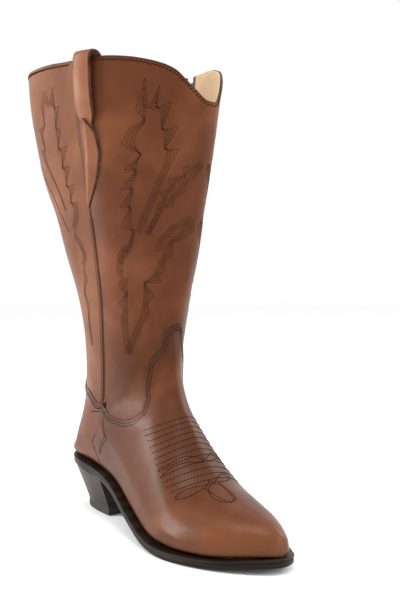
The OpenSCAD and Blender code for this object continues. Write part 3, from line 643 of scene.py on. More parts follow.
def panel_grid(fixed, edges_lo, edges_hi, t, below, under=0.06):
    """s, a grids of a shaft panel. edges: (nominal angle, function of s giving the angle)."""
    cols_s, cols_a = [], []
    for nominal, place in edges_lo + [(a, None) for a in fixed] + edges_hi:
        s0 = float(scallop(nominal)) - under
        s = s0 + (float(topline(nominal, below)) - s0) * t
        cols_s.append(s)
        cols_a.append(np.full(len(t), float(nominal)) if place is None else place(s))
    return np.stack(cols_s, 1), np.stack(cols_a, 1)


def front_edges(lat, med):
    """Columns beside the lateral seam and beside the zip, at the distances given in mm."""
    lateral_side = [(-89, lambda s, d=d: beside(s, d, -1)) for d in lat]
    return lateral_side, [(84, lambda s, d=d: beside(s, d, 1)) for d in med]


def back_edges(med, lat):
    medial_side = [(94, lambda s, d=d: beside(s, -d, 1)) for d in med]
    return medial_side, [(-91, lambda s, d=d: 360 + beside(s, -d, -1)) for d in lat]


a_front = steps(-79, 73, 1.5, (-38.5, 38.5))
a_back = steps(100.5, 264, 1.6)
t_panel = eased_ends(126)


def shaft_panel(name, grid, mats, nodes):
    s, a = grid
    top = deep(s[-1], a[-1], 0.0)
    left, right = deep(s[:, 0], a[:, 0], 0.0), deep(s[:, -1], a[:, -1], 0.0)
    base = deep(s, a, 0.0)
    d_top, d_left, d_right = distance(base, top), distance(base, left), distance(base, right)
    foot = distance(base, deep(scallop(a[0]), a[0], 0.0))
    over = rolled(d_top, 0.9)
    d_out = over + rolled(d_left, 0.6) + rolled(d_right, 0.6) + 0.12 * np.exp(-((d_top - 3.0) / 0.8) ** 2)
    outer, inner = deep(s, a, d_out), deep(s, a, THICK - over)
    burnish_and_shade = np.zeros(s.shape + (3,))
    # Painted shade: dark rims at the topline and side seams (burnish with painted shade), and a painted
    # shadow at the foot under the vamp's and counter's lip.
    side_burnish_and_shade = 0.5 * np.exp(-np.minimum(d_left, d_right) ** 2)
    burnish_and_shade[..., 0] = np.clip(0.9 * np.exp(-(d_top / 1.1) ** 2) + side_burnish_and_shade + 0.6 * np.exp(-foot / 1.5), 0, 1)
    sheet_piece(name, outer, inner, mats, nodes, burnish_and_shade=burnish_and_shade)


seam_cols, zip_cols = (1.2, 1.7, 2.4, 3.4, 5.0), (10.5, 8.5, 7.2, 6.3, 5.8, 5.5)
lo, hi = front_edges(seam_cols, zip_cols)
grid = panel_grid(a_front, lo, hi, t_panel, 0.0)
shaft_panel("front_shaft_skin", grid, [M_SHAFT, M_EDGE], ["front_shaft_panel"])
lo, hi = back_edges(zip_cols[::-1], seam_cols[::-1])
grid = panel_grid(a_back, lo, hi, t_panel, 0.0)
shaft_panel("back_shaft_skin", grid, [M_BACK, M_EDGE], ["back_shaft_panel"])

# Piping of the lateral seam: a half-round bead, flat where the strap patch covers it
n_pip, BEAD = 170, 1.25
s_pip = np.linspace(float(scallop(90)) - 0.02, float(topline(-90, 0.8)), n_pip)
arc = np.radians(np.linspace(-90, 90, 9))
rows_o, rows_i = [], []
for s in s_pip:
    h = 0.75 if s < 17.0 else 0.75 * max(0.0, 1 - (s - 17.0) * 4)
    across = [beside(np.float64(s), BEAD * math.sin(t), -1) for t in arc]
    rows_o.append([deep(s, a, 0.25 - (h + 0.2) * math.cos(t)) for a, t in zip(across, arc)])
    rows_i.append([deep(s, a, THICK - 0.3) for a in across])
sheet_piece("seam_piping", rows_o, rows_i, [M_PIPING], ["lateral_seam_piping"],
            burnish_and_shade=np.full((n_pip, len(arc), 3), 0.1))

# ---------------------------------------------------------------- linings
lat, med = (0.2, 2.0, 5.0), (18.0, 14.0, 12.5)
for name, fixed, edges in (("front", steps(-79, 66, 3.0, (-38.5, 38.5)), front_edges(lat, med)),
                           ("back", steps(103, 264, 3.0), back_edges(med[::-1], lat[::-1]))):
    s, a = panel_grid(fixed, *edges, eased_ends(60), 0.6, 0.0)
    top = distance(deep(s, a, 2.0), deep(s[-1], a[-1], 2.0))
    outer, inner = deep(s, a, 1.9), deep(s, a, 2.9 - rolled(top, 0.8))
    sheet_piece("shaft_lining_" + name, outer, inner, [M_LINING], [name + "_shaft_lining"])

FOOT_LINING, LINING_T = 3.1, 0.8


def lined_end(a):
    w = wrap(a)
    return np.where((w > 71) & (w < 100), np.minimum(scallop(a), ZIP_FOOT - 0.1), scallop(a) - 0.08)


a_l = steps(-120, 120, 3.0, (-38.5, 38.5))
end = np.where(np.abs(a_l) > 90, table(UNDERFOOT, np.abs(a_l)) - 0.1, lined_end(a_l))
t = np.linspace(0, 1, 50)
S = 1.3 + t[:, None] * (end - 1.3)
S_in = 1.6 + t[:, None] * (end - 1.6)
sheet_piece("foot_lining_front", deep(S, a_l, FOOT_LINING), deep(S_in, a_l, FOOT_LINING + LINING_T),
            [M_LINING], ["vamp_lining"], cap=True)

HEEL_SEAT = np.array([[90, 9.95], [110, 9.75], [122, 9.9], [135, 10.2], [150, 10.55], [165, 10.8],
                      [180, 10.9]])
a_l = steps(91, 269, 3.0)
lo_l = table(HEEL_SEAT, np.abs(wrap(a_l)))
S = lo_l + np.linspace(0, 1, 30)[:, None] * (lined_end(a_l) - lo_l)
sheet_piece("foot_lining_heel", deep(S, a_l, FOOT_LINING), deep(S, a_l, FOOT_LINING + LINING_T), [M_LINING],
            ["heel_lining"])

# Guard flap behind the zip
G_COLS = [[14, 7.6], [7, 6.8], [0, 6.6], [-6, 6.4], [-11, 5.8], [-16, 3.8], [-22, 3.4]]
g = dense(np.array(G_COLS, float), 1.0)
rows_o, rows_i = [], []
for s in np.linspace(11.5, 19.5, 70):
    rows_o.append([deep(s, beside(np.float64(s), c[0], 1), c[1]) for c in g])
    rows_i.append([deep(s, beside(np.float64(s), c[0], 1), c[1] + LINING_T) for c in g])
sheet_piece("zip_guard_flap", rows_o, rows_i, [M_GUARD], ["zip_guard"])


# ---------------------------------------------------------------- pull strap and its patch
def lateral(z, dx, off):
    """Point at height z, dx in front of the lateral seam and off outside the skin."""
    s = level(min(z, 376.0), -90.0)
    p = bare_skin(s, beside(s, dx, -1))
    return np.array([p[0], p[1] - off, z])


STRAP_W = 15.0
# distance outside the skin, height, share of the width, distance in front of the seam
STRAP_PATH = np.array([[-6.8, 326, 1, 13], [-6.8, 345, 1, 13], [-6.7, 361, 1, 13], [-6, 367, 1, 13],
                       [-3.5, 371.2, 1, 13], [0.4, 372.6, 1, 13], [3.8, 371.4, 1, 13], [5.8, 366.5, 1, 13],
                       [6.3, 357, 1, 13], [6.3, 345, 1, 13], [5.9, 332, 1, 13], [4.4, 323, 0.9, 13],
                       [2.9, 316, 0.5, 13], [2.3, 310, 0.42, 12.5], [2.2, 292, 0.4, 11]], float)
sp = np.c_[np.arange(len(STRAP_PATH)), STRAP_PATH]
fine = curve(sp, np.linspace(0, len(STRAP_PATH) - 1, 150))[:, 1:]
tang = np.gradient(fine[:, :2], axis=0)
tang /= np.linalg.norm(tang, axis=1, keepdims=True)
side_n = np.stack([-tang[:, 1], tang[:, 0]], 1)
# rounded cross-section: (share of half width, depth below the convex side)
ring = [(-0.9, 0.0), (-0.97, 0.15), (-1, 0.5), (-1, 1.5), (-0.97, 1.85), (-0.9, 2.0), (-0.5, 2.0),
        (0, 2.0), (0.5, 2.0), (0.9, 2.0), (0.97, 1.85), (1, 1.5), (1, 0.5), (0.97, 0.15), (0.9, 0.0),
        (0.78, -0.05), (0.7, 0.1), (0.6, 0.0), (0, -0.12), (-0.6, 0.0), (-0.7, 0.1), (-0.78, -0.05)]
verts = []
for (off, z, w, mid), n in zip(fine, side_n):
    for f, dpt in ring:
        verts.append(lateral(z - n[1] * dpt, mid + f * w * STRAP_W / 2, off - n[0] * dpt))
m = len(ring)
n = len(fine)
i, j = np.meshgrid(np.arange(n - 1), np.arange(m), indexing="ij")
k = (j + 1) % m
faces = np.stack([i * m + j, i * m + k, (i + 1) * m + k, (i + 1) * m + j], -1).reshape(-1, 4).tolist()
faces += [list(range(m)), list(range((n - 1) * m, n * m))]
burnish_and_shade = np.zeros((len(verts), 3))
edge_share = np.array([1.0 if abs(f) > 0.95 else (0.35 if abs(f) > 0.85 else 0.05) for f, _ in ring])
burnish_and_shade[:, 0] = np.tile(edge_share, n)
build("strap_loop", verts, faces, [M_STRAP], "boot", ["pull_strap"], burnish_and_shade=burnish_and_shade)

# height, half width, height of the ridge, height of the border, distance in front of the seam
PATCH = np.array([[321, 0.5, 6.3, 5.6, 13], [317, 2.4, 5.6, 4.4, 13], [312, 4.6, 5.0, 2.0, 13],
                  [305, 6.2, 4.6, 0.5, 12.5], [296, 7.3, 4.4, 0.2, 12], [290, 7.5, 4.1, 0.2, 11],
                  [286, 7.4, 3.8, 0.2, 10], [278, 6.8, 3.3, 0.2, 8.5], [268, 5.2, 2.7, 0.2, 5.5],
                  [260, 3.0, 2.0, 0.2, 2.5], [254, 0.5, 1.0, 0.2, 0.5]], float)
prof = curve(PATCH[::-1], np.linspace(321, 254, 90))
half_shares = np.array([0.12, 0.28, 0.45, 0.62, 0.78, 0.9, 0.97, 1])
shares = np.r_[-half_shares[::-1], 0, half_shares]
outer, inner, burnish_and_shade = [], [], []
for r in prof:
    wv = max(r[1], 0.4)
    o, q, wr = [], [], []
    for f in shares:
        ridge = math.exp(-(f / 0.42) ** 2)
        flat = 1 - abs(f) ** 6
        height = r[3] + 0.2 + (r[2] - r[3] - 1.0) * ridge * flat + 1.0 * min(1, (1 - abs(f)) * 9)
        o.append(lateral(r[0], r[4] - f * wv, max(height, 0.4)))
        q.append(lateral(r[0], r[4] - f * wv, max(r[3] - 0.3, 0.1)))
        # Painted shadow: a dark outline all round the patch border, partly burnish.
        wr.append([1.0 if abs(f) > 0.85 else 0.6 * math.exp(-(0.85 - abs(f)) * wv / 0.8), 0, 0])
    outer.append(o)
    inner.append(q)
    burnish_and_shade.append(wr)
sheet_piece("strap_patch", outer, inner, [M_STRAP, M_EDGE], ["pull_strap_patch"], burnish_and_shade=burnish_and_shade)


# ---------------------------------------------------------------- sole and heel
def closed_spline(p, n):
    """Even points on a smooth closed curve through p (centripetal Catmull-Rom)."""
    q = np.concatenate([p[-2:], p, p[:3]])
    out = []
    for i in range(1, len(p) + 1):
        p0, p1, p2, p3 = q[i:i + 4]
        t1 = np.linalg.norm(p1 - p0) ** 0.5
        t2 = t1 + np.linalg.norm(p2 - p1) ** 0.5
        t3 = t2 + np.linalg.norm(p3 - p2) ** 0.5
        t = np.linspace(t1, t2, 40, endpoint=False)[:, None]
        a1 = (t1 - t) / t1 * p0 + t / t1 * p1
        a2 = (t2 - t) / (t2 - t1) * p1 + (t - t1) / (t2 - t1) * p2
        a3 = (t3 - t) / (t3 - t2) * p2 + (t - t2) / (t3 - t2) * p3
        b1 = (t2 - t) / t2 * a1 + t / t2 * a2
        b2 = (t3 - t) / (t3 - t1) * a2 + (t - t1) / (t3 - t1) * a3
        out.append((t2 - t) / (t2 - t1) * b1 + (t - t1) / (t2 - t1) * b2)
    pts = np.concatenate(out + [out[0][:1]])
    return dense_n(pts, n)


def dense_n(p, n):
    d = np.r_[0, np.cumsum(np.linalg.norm(np.diff(p, axis=0), axis=1))]
    t = np.linspace(0, d[-1], n, endpoint=False)
    return np.stack([np.interp(t, d, p[:, k]) for k in range(p.shape[1])], -1)


def sole_z(x):
    return curve(SOLE, np.clip(x, 3, 275))[..., 3]


lat_pts = [[r[0], r[1]] for r in SOLE[1:-1]]
med_pts = [[r[0], r[2]] for r in SOLE[1:-1]][::-1]
outline = closed_spline(np.array([[3.0, 0.0]] + lat_pts + [[275.0, 0.0]] + med_pts), 480)
tan = np.roll(outline, -1, 0) - np.roll(outline, 1, 0)
tan /= np.linalg.norm(tan, axis=1, keepdims=True)
inn = np.stack([-tan[:, 1], tan[:, 0]], 1)
centre = np.stack([np.clip(outline[:, 0], 30, 235), np.zeros(len(outline))], 1)
inn *= np.sign(((centre - outline) * inn).sum(1))[:, None]


def inset(d):
    """The outline moved inward by d, not past the middle line."""
    if d <= 3:
        return outline + inn * d
    x = np.clip(outline[:, 0], 5 + d, 272 - d)
    r = curve(SOLE, x)
    y = np.where(outline[:, 1] < 0, np.minimum(r[:, 1] + d, -0.3), np.maximum(r[:, 2] - d, 0.3))
    return np.stack([x, y], 1)


def rim_loft(profile):
    """Closed loft round the outline; profile: (inset, height below the top of the welt)."""
    rings = []
    for d, dz in profile:
        p = inset(d)
        rings.append(np.c_[p, sole_z(p[:, 0]) - dz])
    return np.array(rings)


def tube_faces(nr, m, closed):
    rows = nr if closed else nr - 1
    i, j = np.meshgrid(np.arange(rows), np.arange(m), indexing="ij")
    k, ii = (j + 1) % m, (i + 1) % nr
    return np.stack([i * m + j, i * m + k, ii * m + k, ii * m + j], -1).reshape(-1, 4)


welt = rim_loft([(11, 0.0), (4.5, 0.0), (1.2, 0.0), (0.5, 0.1), (0.12, 0.4), (0, 0.9), (0.1, 1.5),
                 (0.45, 1.9), (1.2, 2.0), (11, 2.0)])
welt_faces = tube_faces(len(welt), welt.shape[1], True)
build("welt_strip", welt.reshape(-1, 3), welt_faces, [M_WELT], "boot", ["welt"])


def capped(rings, faces):
    """Adds caps between matching points on both sides of the first and the last ring."""
    nr, m = rings.shape[:2]
    out = faces.tolist()
    for base, flip in ((0, False), ((nr - 1) * m, True)):
        for j in range(m // 2 - 1):
            q = [base + j, base + j + 1, base + (m - 1 - j) % m, base + (m - j) % m]
            q = list(dict.fromkeys(q))
            if len(q) > 2:
                out.append(q[::-1] if flip else q)
        q = list(dict.fromkeys([base + m // 2 - 1, base + m // 2, base + m // 2 + 1]))
        out.append(q[::-1] if flip else q)
    return out


sole = rim_loft([(2.6, 2.05), (0.9, 2.05), (0.55, 2.15), (0.42, 2.5), (0.35, 3.2), (0.3, 4.4), (0.4, 5.3),
                 (0.8, 5.85), (1.4, 6.05), (2.9, 6.05)])
sole_faces = capped(sole, tube_faces(len(sole), sole.shape[1], False))
build("outsole_leather", sole.reshape(-1, 3), sole_faces, [M_SOLE], "boot", ["outsole"])

HEEL_TOP, HEEL_FOOT, HEEL_W = (3.4, 81, 34.5, 32.5), (17, 75), 22.0
LIFT_H = 6.0
WELT_AND_SOLE, GAP = 6.0, 0.05


def heel_ring(t, shrink=0.0):
    """Outline of the heel at the share t of its height, moved inward by shrink."""
    u = t ** 1.05
    xb = HEEL_FOOT[0] + (HEEL_TOP[0] - HEEL_FOOT[0]) * u + shrink
    xf = HEEL_FOOT[1] + (HEEL_TOP[1] - HEEL_FOOT[1]) * u
    wl = HEEL_W + (HEEL_TOP[2] - HEEL_W) * u - shrink
    wm = HEEL_W + (HEEL_TOP[3] - HEEL_W) * u - shrink
    a = np.radians(np.linspace(-90, 90, 97))
    back = np.stack([xf - (xf - xb) * np.abs(np.cos(a)) ** 0.8,
                     np.where(a < 0, wl, wm) * np.sign(a) * np.abs(np.sin(a)) ** 0.85], 1)
    # slightly hollow breast, from the medial corner back to the lateral one
    y = np.linspace(wm, -wl, 26)[1:-1]
    hollow = 2.2 * (1 - (y / wl) ** 2)
    return np.concatenate([back, np.stack([xf - shrink - hollow, y], 1)])


rings = []
layers = 8
for t in np.linspace(0, 1, layers * 6 + 1):
    groove = 0.08 * math.exp(-((((t * layers) % 1) - 0.5) / 0.12) ** 2)
    p = heel_ring(t, groove)
    top = sole_z(p[:, 0]) - WELT_AND_SOLE - 2 * GAP
    rings.append(np.c_[p, LIFT_H + 0.02 + (top - LIFT_H - 0.02) * t])
rings = np.array(rings)
m = rings.shape[1]
faces = tube_faces(len(rings), m, False).tolist()
faces += [list(range(m)), [(len(rings) - 1) * m + j for j in range(m)]]
build("heel_block_stack", rings.reshape(-1, 3), faces, [M_HEEL], "boot", ["heel_block"])

NAILS = [(26, 0), (36, 13), (36, -13), (62, 14), (62, -14)]
HOLE_R = 1.13 * MM
rings = np.array([np.c_[heel_ring(0, s), np.full(m, z)] for s, z in
                  ((1.0, 0.0), (0.4, 0.1), (0.1, 0.45), (0.0, 1.0), (0.0, 5.2), (0.1, 5.7), (0.35, 6.0))])
faces = tube_faces(len(rings), m, False).tolist()
faces += [list(range(m)), [(len(rings) - 1) * m + j for j in range(m)]]
lift = build("top_lift_rubber", rings.reshape(-1, 3), faces, [M_LIFT], "boot", ["top_lift"])
bm = bmesh.new()
for x, y in NAILS:
    c = bmesh.ops.create_cone(bm, cap_ends=True, segments=32, radius1=HOLE_R, radius2=HOLE_R, depth=9 * MM)
    bmesh.ops.translate(bm, verts=c["verts"], vec=Vector(world((x, y, 3.0))))
cut = bpy.data.meshes.new("nail_holes")
bm.to_mesh(cut)
bm.free()
cutter = bpy.data.objects.new("nail_holes", cut)
bpy.context.scene.collection.objects.link(cutter)
mod = lift.modifiers.new("holes", "BOOLEAN")
mod.object, mod.operation, mod.solver = cutter, "DIFFERENCE", "EXACT"
bpy.context.view_layer.update()
done = bpy.data.meshes.new_from_object(lift.evaluated_get(bpy.context.evaluated_depsgraph_get()))
lift.modifiers.clear()
lift.data = done
bpy.data.objects.remove(cutter)


# ---------------------------------------------------------------- stitching
def tangents(s, a):
    ps = (bare_skin(s + 0.02, a) - bare_skin(s - 0.02, a)) / 0.04
    pa = (bare_skin(s, a + 0.4) - bare_skin(s, a - 0.4)) / 0.8
    return ps, pa


def shifted(path, offset):
    """A path of (s, a) rows moved sideways over the skin by offset mm, mitred at its corners."""
    if offset == 0:
        return np.asarray(path, float)
    path = np.asarray(path, float)
    s, a = path[:, 0], path[:, 1]
    p = bare_skin(s, a)
    n = -inward(s, a)
    fwd = np.diff(p, axis=0)
    fwd /= np.linalg.norm(fwd, axis=1, keepdims=True) + 1e-9
    before, after = np.r_[fwd[:1], fwd], np.r_[fwd, fwd[-1:]]
    s1, s2 = np.cross(n, before), np.cross(n, after)
    mid = s1 + s2
    mid /= np.linalg.norm(mid, axis=1, keepdims=True) + 1e-9
    step = mid * (offset / np.maximum((mid * s1).sum(1), 0.5))[:, None]
    ps, pa = tangents(s, a)
    aa, ab, bb = (ps * ps).sum(1), (ps * pa).sum(1), (pa * pa).sum(1)
    ra, rb = (ps * step).sum(1), (pa * step).sum(1)
    det = aa * bb - ab * ab
    return np.stack([s + (bb * ra - ab * rb) / det, a + (aa * rb - ab * ra) / det], 1)


def smoothed(path, n=12):
    """A smooth curve through (s, a) points."""
    p = np.asarray(path, float)
    t = np.c_[np.arange(len(p)), p]
    return curve(t, np.linspace(0, len(p) - 1, (len(p) - 1) * n + 1))[:, 1:]


def stitches(name, paths, mat, pitch=2.5, length=1.9, radius=0.27, out=0.1, slant=0.0):
    """Short sewn threads along paths of (s, a); every path may carry its own outward lift."""
    p0, p1, nn = [], [], []
    for path in paths:
        lift = out
        if isinstance(path, tuple):
            path, lift = path
        sa = dense(path, 0.02)
        pos = deep(sa[:, 0], sa[:, 1], -lift)
        d = np.r_[0, np.cumsum(np.linalg.norm(np.diff(pos, axis=0), axis=1))]
        if d[-1] < pitch:
            continue
        starts = np.arange(0.2, d[-1] - length, pitch)
        for k, store in ((0.0, p0), (length, p1)):
            q = np.stack([np.interp(starts + k, d, pos[:, c]) for c in range(3)], -1)
            store.append(q)
        sm = np.interp(starts + length / 2, d, sa[:, 0])
        am = np.interp(starts + length / 2, d, sa[:, 1])
        nn.append(-inward(sm, am))
    p0, p1, nn = np.concatenate(p0), np.concatenate(p1), np.concatenate(nn)
    c = (p0 + p1) / 2
    tv = p1 - p0
    ln = np.linalg.norm(tv, axis=1, keepdims=True)
    tv = tv / (ln + 1e-9)
    bv = np.cross(nn, tv)
    if slant:
        tv, bv = tv * math.cos(slant) + bv * math.sin(slant), bv * math.cos(slant) - tv * math.sin(slant)
    half = length / 2
    rings = [(-half, -0.32, 0.6), (-half * 0.55, 0.04, 1.0), (half * 0.55, 0.04, 1.0), (half, -0.32, 0.6)]
    sides = 5
    verts = []
    for along, up, share in rings:
        for q in range(sides):
            ang = 2 * math.pi * q / sides
            rise, aside = up + radius * share * math.sin(ang), radius * share * math.cos(ang)
            verts.append(c + tv * along + nn * rise + bv * aside)
    verts = np.stack(verts, 1)
    per = verts.shape[1]
    f = []
    for r in range(len(rings) - 1):
        for q in range(sides):
            k = (q + 1) % sides
            f.append([r * sides + q, r * sides + k, (r + 1) * sides + k, (r + 1) * sides + q])
    f = np.array(f)
    base = (np.arange(len(c)) * per)[:, None, None]
    quads = (f[None] + base).reshape(-1, 4).tolist()
    ends = np.array([list(range(sides))[::-1], list(range((len(rings) - 1) * sides, len(rings) * sides))])
    quads += (ends[None] + base).reshape(-1, sides).tolist()
    mesh = bpy.data.meshes.new(name)
    mesh.from_pydata(world(verts.reshape(-1, 3)).tolist(), [], quads)
    mesh.polygons.foreach_set("use_smooth", np.ones(len(mesh.polygons), bool))
    obj = bpy.data.objects.new(name, mesh)
    mesh.materials.append(mat)
    bpy.context.scene.collection.objects.link(obj)
    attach(obj, "boot")


# Toe: rows across the instep, a leaf within them and the toe bug in front
ROWS = 12
toe = []
for i in range(ROWS):
    mid, end_s = 7.6 - 0.235 * i, 8.05 - 0.235 * i
    a = np.linspace(-51, 51, 41)
    toe.append(np.c_[mid - 0.12 + (end_s - mid + 0.12) * (np.abs(a) / 51) ** 2, a])
for sign in (1, -1):
    for leaf in ([[6.45, -50], [6.2, -36], [6.05, -22], [5.75, -8], [5.6, 0]],
                 [[6.15, -51], [6.1, -40], [5.85, -24], [5.6, -10], [5.6, 0]]):
        toe.append(smoothed(np.array(leaf) * [1, sign]))
LOOP = [[4.9, -10], [4.75, -17], [4.7, -26], [4.8, -40], [5.1, -50], [5.15, -43], [4.98, -31], [4.8, -20],
        [4.72, -12], [4.55, -4], [4.2, 0], [3.8, -3], [3.6, -10], [3.75, -17], [4.2, -20], [4.72, -22]]
for flip in (False, True):
    loop = np.array(LOOP, float)
    if flip:
        loop[:, 1] = -24 - loop[:, 1]
    toe.append(smoothed(loop))
stitches("toe_stitching", toe, M_THREAD, pitch=2.4, length=1.8, radius=0.34, out=0.08)

# Twin rows along the scalloped line, on the vamp and on the counter
a = np.linspace(-89.5, 80, 700)
edge = np.c_[scallop(a), a]
twin = []
for d, lift in ((-2.2, 0.62), (-4.4, 0.42)):
    twin.append((shifted(edge, d), lift))
a = np.linspace(93.5, 269.5, 700)
edge_b = np.c_[scallop(a), a]
for d, lift in ((-2.2, 0.62), (-4.4, 0.42)):
    twin.append((shifted(edge_b, d), lift))
stitches("scallop_stitching", twin, M_THREAD, pitch=2.3, length=1.75, radius=0.33)

# Side seams: beside the lateral piping, along the counter seam and beside the zip
seam = []
ss = np.linspace(11.35, 16.9, 120)
for dx in (-2.6, 2.6):
    seam.append(np.c_[ss, beside(ss, dx, -1)])
side_seam = np.array([[11.2, -83], [10.4, -84.5], [9.6, -87.5], [9.15, -92], [8.9, -98]], float)
seam += [smoothed(side_seam), smoothed(side_seam + [0.0, 2.2])]
ss = np.linspace(10.3, 19.7, 200)
for dx in (7.6, -7.6):
    seam.append(np.c_[ss, beside(ss, dx, 1)])
stitches("seam_stitching", seam, M_THREAD, pitch=2.4, length=1.9, radius=0.3, out=0.06)

# Topline: one slanted row round the mouth
a = np.linspace(-87, 82, 400)
rim_f = np.c_[topline(a, 3.0), a]
a = np.linspace(96, 266, 400)
rim_b = np.c_[topline(a, 3.0), a]
stitches("topline_stitching", [rim_f, rim_b], M_THREAD, pitch=3.0, length=2.9, radius=0.38,
         out=0.05, slant=0.7)

# Flame motifs on the shaft
FRONT_LEFT = [[19.0, -41], [19.4, -43], [19.0, -47], [18.8, -43], [18.7, -50], [18.4, -55], [18.2, -44],
              [17.9, -54], [17.9, -47], [17.5, -57], [17.5, -50], [17.1, -58], [17.1, -52], [16.6, -59],
              [16.5, -51], [16.1, -54], [15.7, -63]]
FRONT_SCROLL = [[16.1, -54], [16.1, -58], [15.8, -63], [15.4, -64], [15.25, -60]]
FRONT_LOW = [[15.25, -60], [15.05, -64], [14.7, -58], [14.5, -64], [14.2, -59], [14.1, -62], [13.5, -61],
             [12.8, -58], [12.3, -54]]
FRONT_RIGHT = [[19.0, -41], [19.3, -36], [19.0, -37], [19.1, -30], [18.65, -34], [18.7, -26], [18.3, -32],
               [18.3, -24], [18.0, -28.5], [17.5, -34], [16.95, -40], [16.4, -46]]
LEAF_UP = [[16.4, -42], [16.9, -36], [17.15, -35], [17.3, -31], [17.4, -34], [17.55, -27], [17.7, -29],
           [17.8, -19], [17.95, -21], [18.05, -5]]
LEAF_MID = [[18.05, -5], [17.75, -10], [17.65, -17], [17.45, -18], [17.3, -25], [17.1, -25], [17.1, -30],
            [16.7, -36], [16.35, -41]]
LEAF_LOW = [[16.75, -8], [16.5, -4], [16.3, -13], [16.1, -24], [15.75, -23], [15.55, -29], [15.25, -28],
            [15.15, -33], [14.9, -30], [14.95, -43], [14.5, -35], [14.2, -40], [13.9, -37], [13.4, -43],
            [12.3, -54]]
LEAF_IN = [[16.75, -8], [16.75, -14], [16.55, -17], [16.55, -23], [16.3, -26], [16.25, -31], [15.95, -30],
           [15.9, -36]]
BACK_RIGHT = [[19.3, -112], [19.5, -108], [19.2, -107], [19.2, -103], [18.9, -107], [18.8, -103],
              [18.5, -108], [18.5, -100], [18.1, -108], [18.1, -101], [17.7, -108], [17.7, -100],
              [17.3, -107], [17.3, -100], [16.9, -102], [16.6, -110]]
BACK_SCROLL = [[16.6, -110], [16.35, -105], [16.0, -101], [15.85, -103], [15.7, -107]]
BACK_LOW = [[15.7, -107], [15.4, -104], [15.3, -109], [15.1, -113], [14.8, -108], [14.4, -111], [13.6, -106]]
BACK_LEFT = [[19.3, -112], [19.5, -117], [19.3, -122], [19.0, -120], [19.0, -128], [18.6, -123], [18.6, -130],
             [17.8, -120], [17.1, -116]]
BACK_OUTER = [[18.4, -146], [17.7, -131], [17.1, -126], [16.6, -118]]
flames = []


def banded(path, rows, gap, smooth=False):
    p = smoothed(path) if smooth else np.array(path, float)
    for k in range(rows):
        soft = p.copy()
        soft[1:-1] += min(0.85, 0.3 * k) * ((p[:-2] + 2 * p[1:-1] + p[2:]) / 4 - p[1:-1])
        flames.append(shifted(soft, k * gap))


for flip in (1, -1):
    def put(path, rows, gap, smooth=False):
        q = np.array(path, float)
        q[:, 1] *= flip
        banded(q, rows, gap * flip, smooth)

    put(FRONT_LEFT, 4, 1.5)
    put(FRONT_SCROLL, 4, 1.5, True)
    put(FRONT_LOW, 4, 1.5)
    put(FRONT_RIGHT, 4, -1.5)
    put(LEAF_UP, 3, -1.5)
    put(LEAF_MID, 3, -1.7)
    put(LEAF_LOW, 4, -1.5)
    put(LEAF_IN, 3, -1.7)
    put(BACK_RIGHT, 4, -1.7)
    put(BACK_SCROLL, 4, -1.7, True)
    put(BACK_LOW, 3, -1.7)
    put(BACK_LEFT, 3, 1.7)
    put(BACK_OUTER, 2, 1.8)
stitches("shaft_motif_stitching", flames, M_THREAD, pitch=2.1, length=1.55, radius=0.25,
         out=0.03)

# ---------------------------------------------------------------- zip
lean_x, lean_y = math.atan(SEAM_SLOPE), math.atan(ZIP_SLOPE * math.cos(math.atan(SEAM_SLOPE)))
TURN = np.array(Matrix.Rotation(lean_x, 3, "Y") @ Matrix.Rotation(-lean_y, 3, "X"))


def on_zip(z, local):
    """Zip frame at height z: X toward the toe, Y outward, Z up the chain."""
    return np.array([seam_x(z), zip_y(z), z]) + np.asarray(local, float) @ TURN.T


def rounded_box(bm, lo, hi, bevel, place, segments=2):
    lo, hi = np.asarray(lo, float), np.asarray(hi, float)
    made = bmesh.ops.create_cube(bm, size=1.0)["verts"]
    for v in made:
        v.co = Vector((lo + (hi - lo) * (np.array(v.co) + 0.5)).tolist())
    edges = list({e for v in made for e in v.link_edges})
    res = bmesh.ops.bevel(bm, geom=edges, offset=bevel, segments=segments, affect="EDGES", profile=0.5)
    verts = list({v for f in res["faces"] for v in f.verts} | {v for v in made if v.is_valid})
    verts = [v for v in verts if v.is_valid]
    for v in verts:
        v.co = Vector(world(place(np.array(v.co))).tolist())


def bm_object(name, bm, mat, body, nodes, angle=35.0):
    mesh = bpy.data.meshes.new(name)
    bmesh.ops.recalc_face_normals(bm, faces=bm.faces)
    bm.to_mesh(mesh)
    bm.free()
    mesh.polygons.foreach_set("use_smooth", np.ones(len(mesh.polygons), bool))
    mesh.set_sharp_from_angle(angle=math.radians(angle))
    mesh.materials.append(mat)
    obj = bpy.data.objects.new(name, mesh)
    bpy.context.scene.collection.objects.link(obj)
    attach(obj, body)
    if nodes:
        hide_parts(*nodes)
    return obj


TAPE_COLS = np.array([12, 9, 6, 4.5, 2.8, 1.0])
for name, dxs in (("zip_tape_front", TAPE_COLS), ("zip_tape_back", -TAPE_COLS[::-1])):
    ss = np.linspace(ZIP_FOOT + 0.12, 19.62, 90)
    d = 1.9
    outer = np.stack([deep(ss, beside(ss, x, 1), d) for x in dxs], 1)
    inner = np.stack([deep(ss, beside(ss, x, 1), d + 0.6) for x in dxs], 1)
    sheet_piece(name + "_cloth", outer, inner, [M_TAPE], [name])

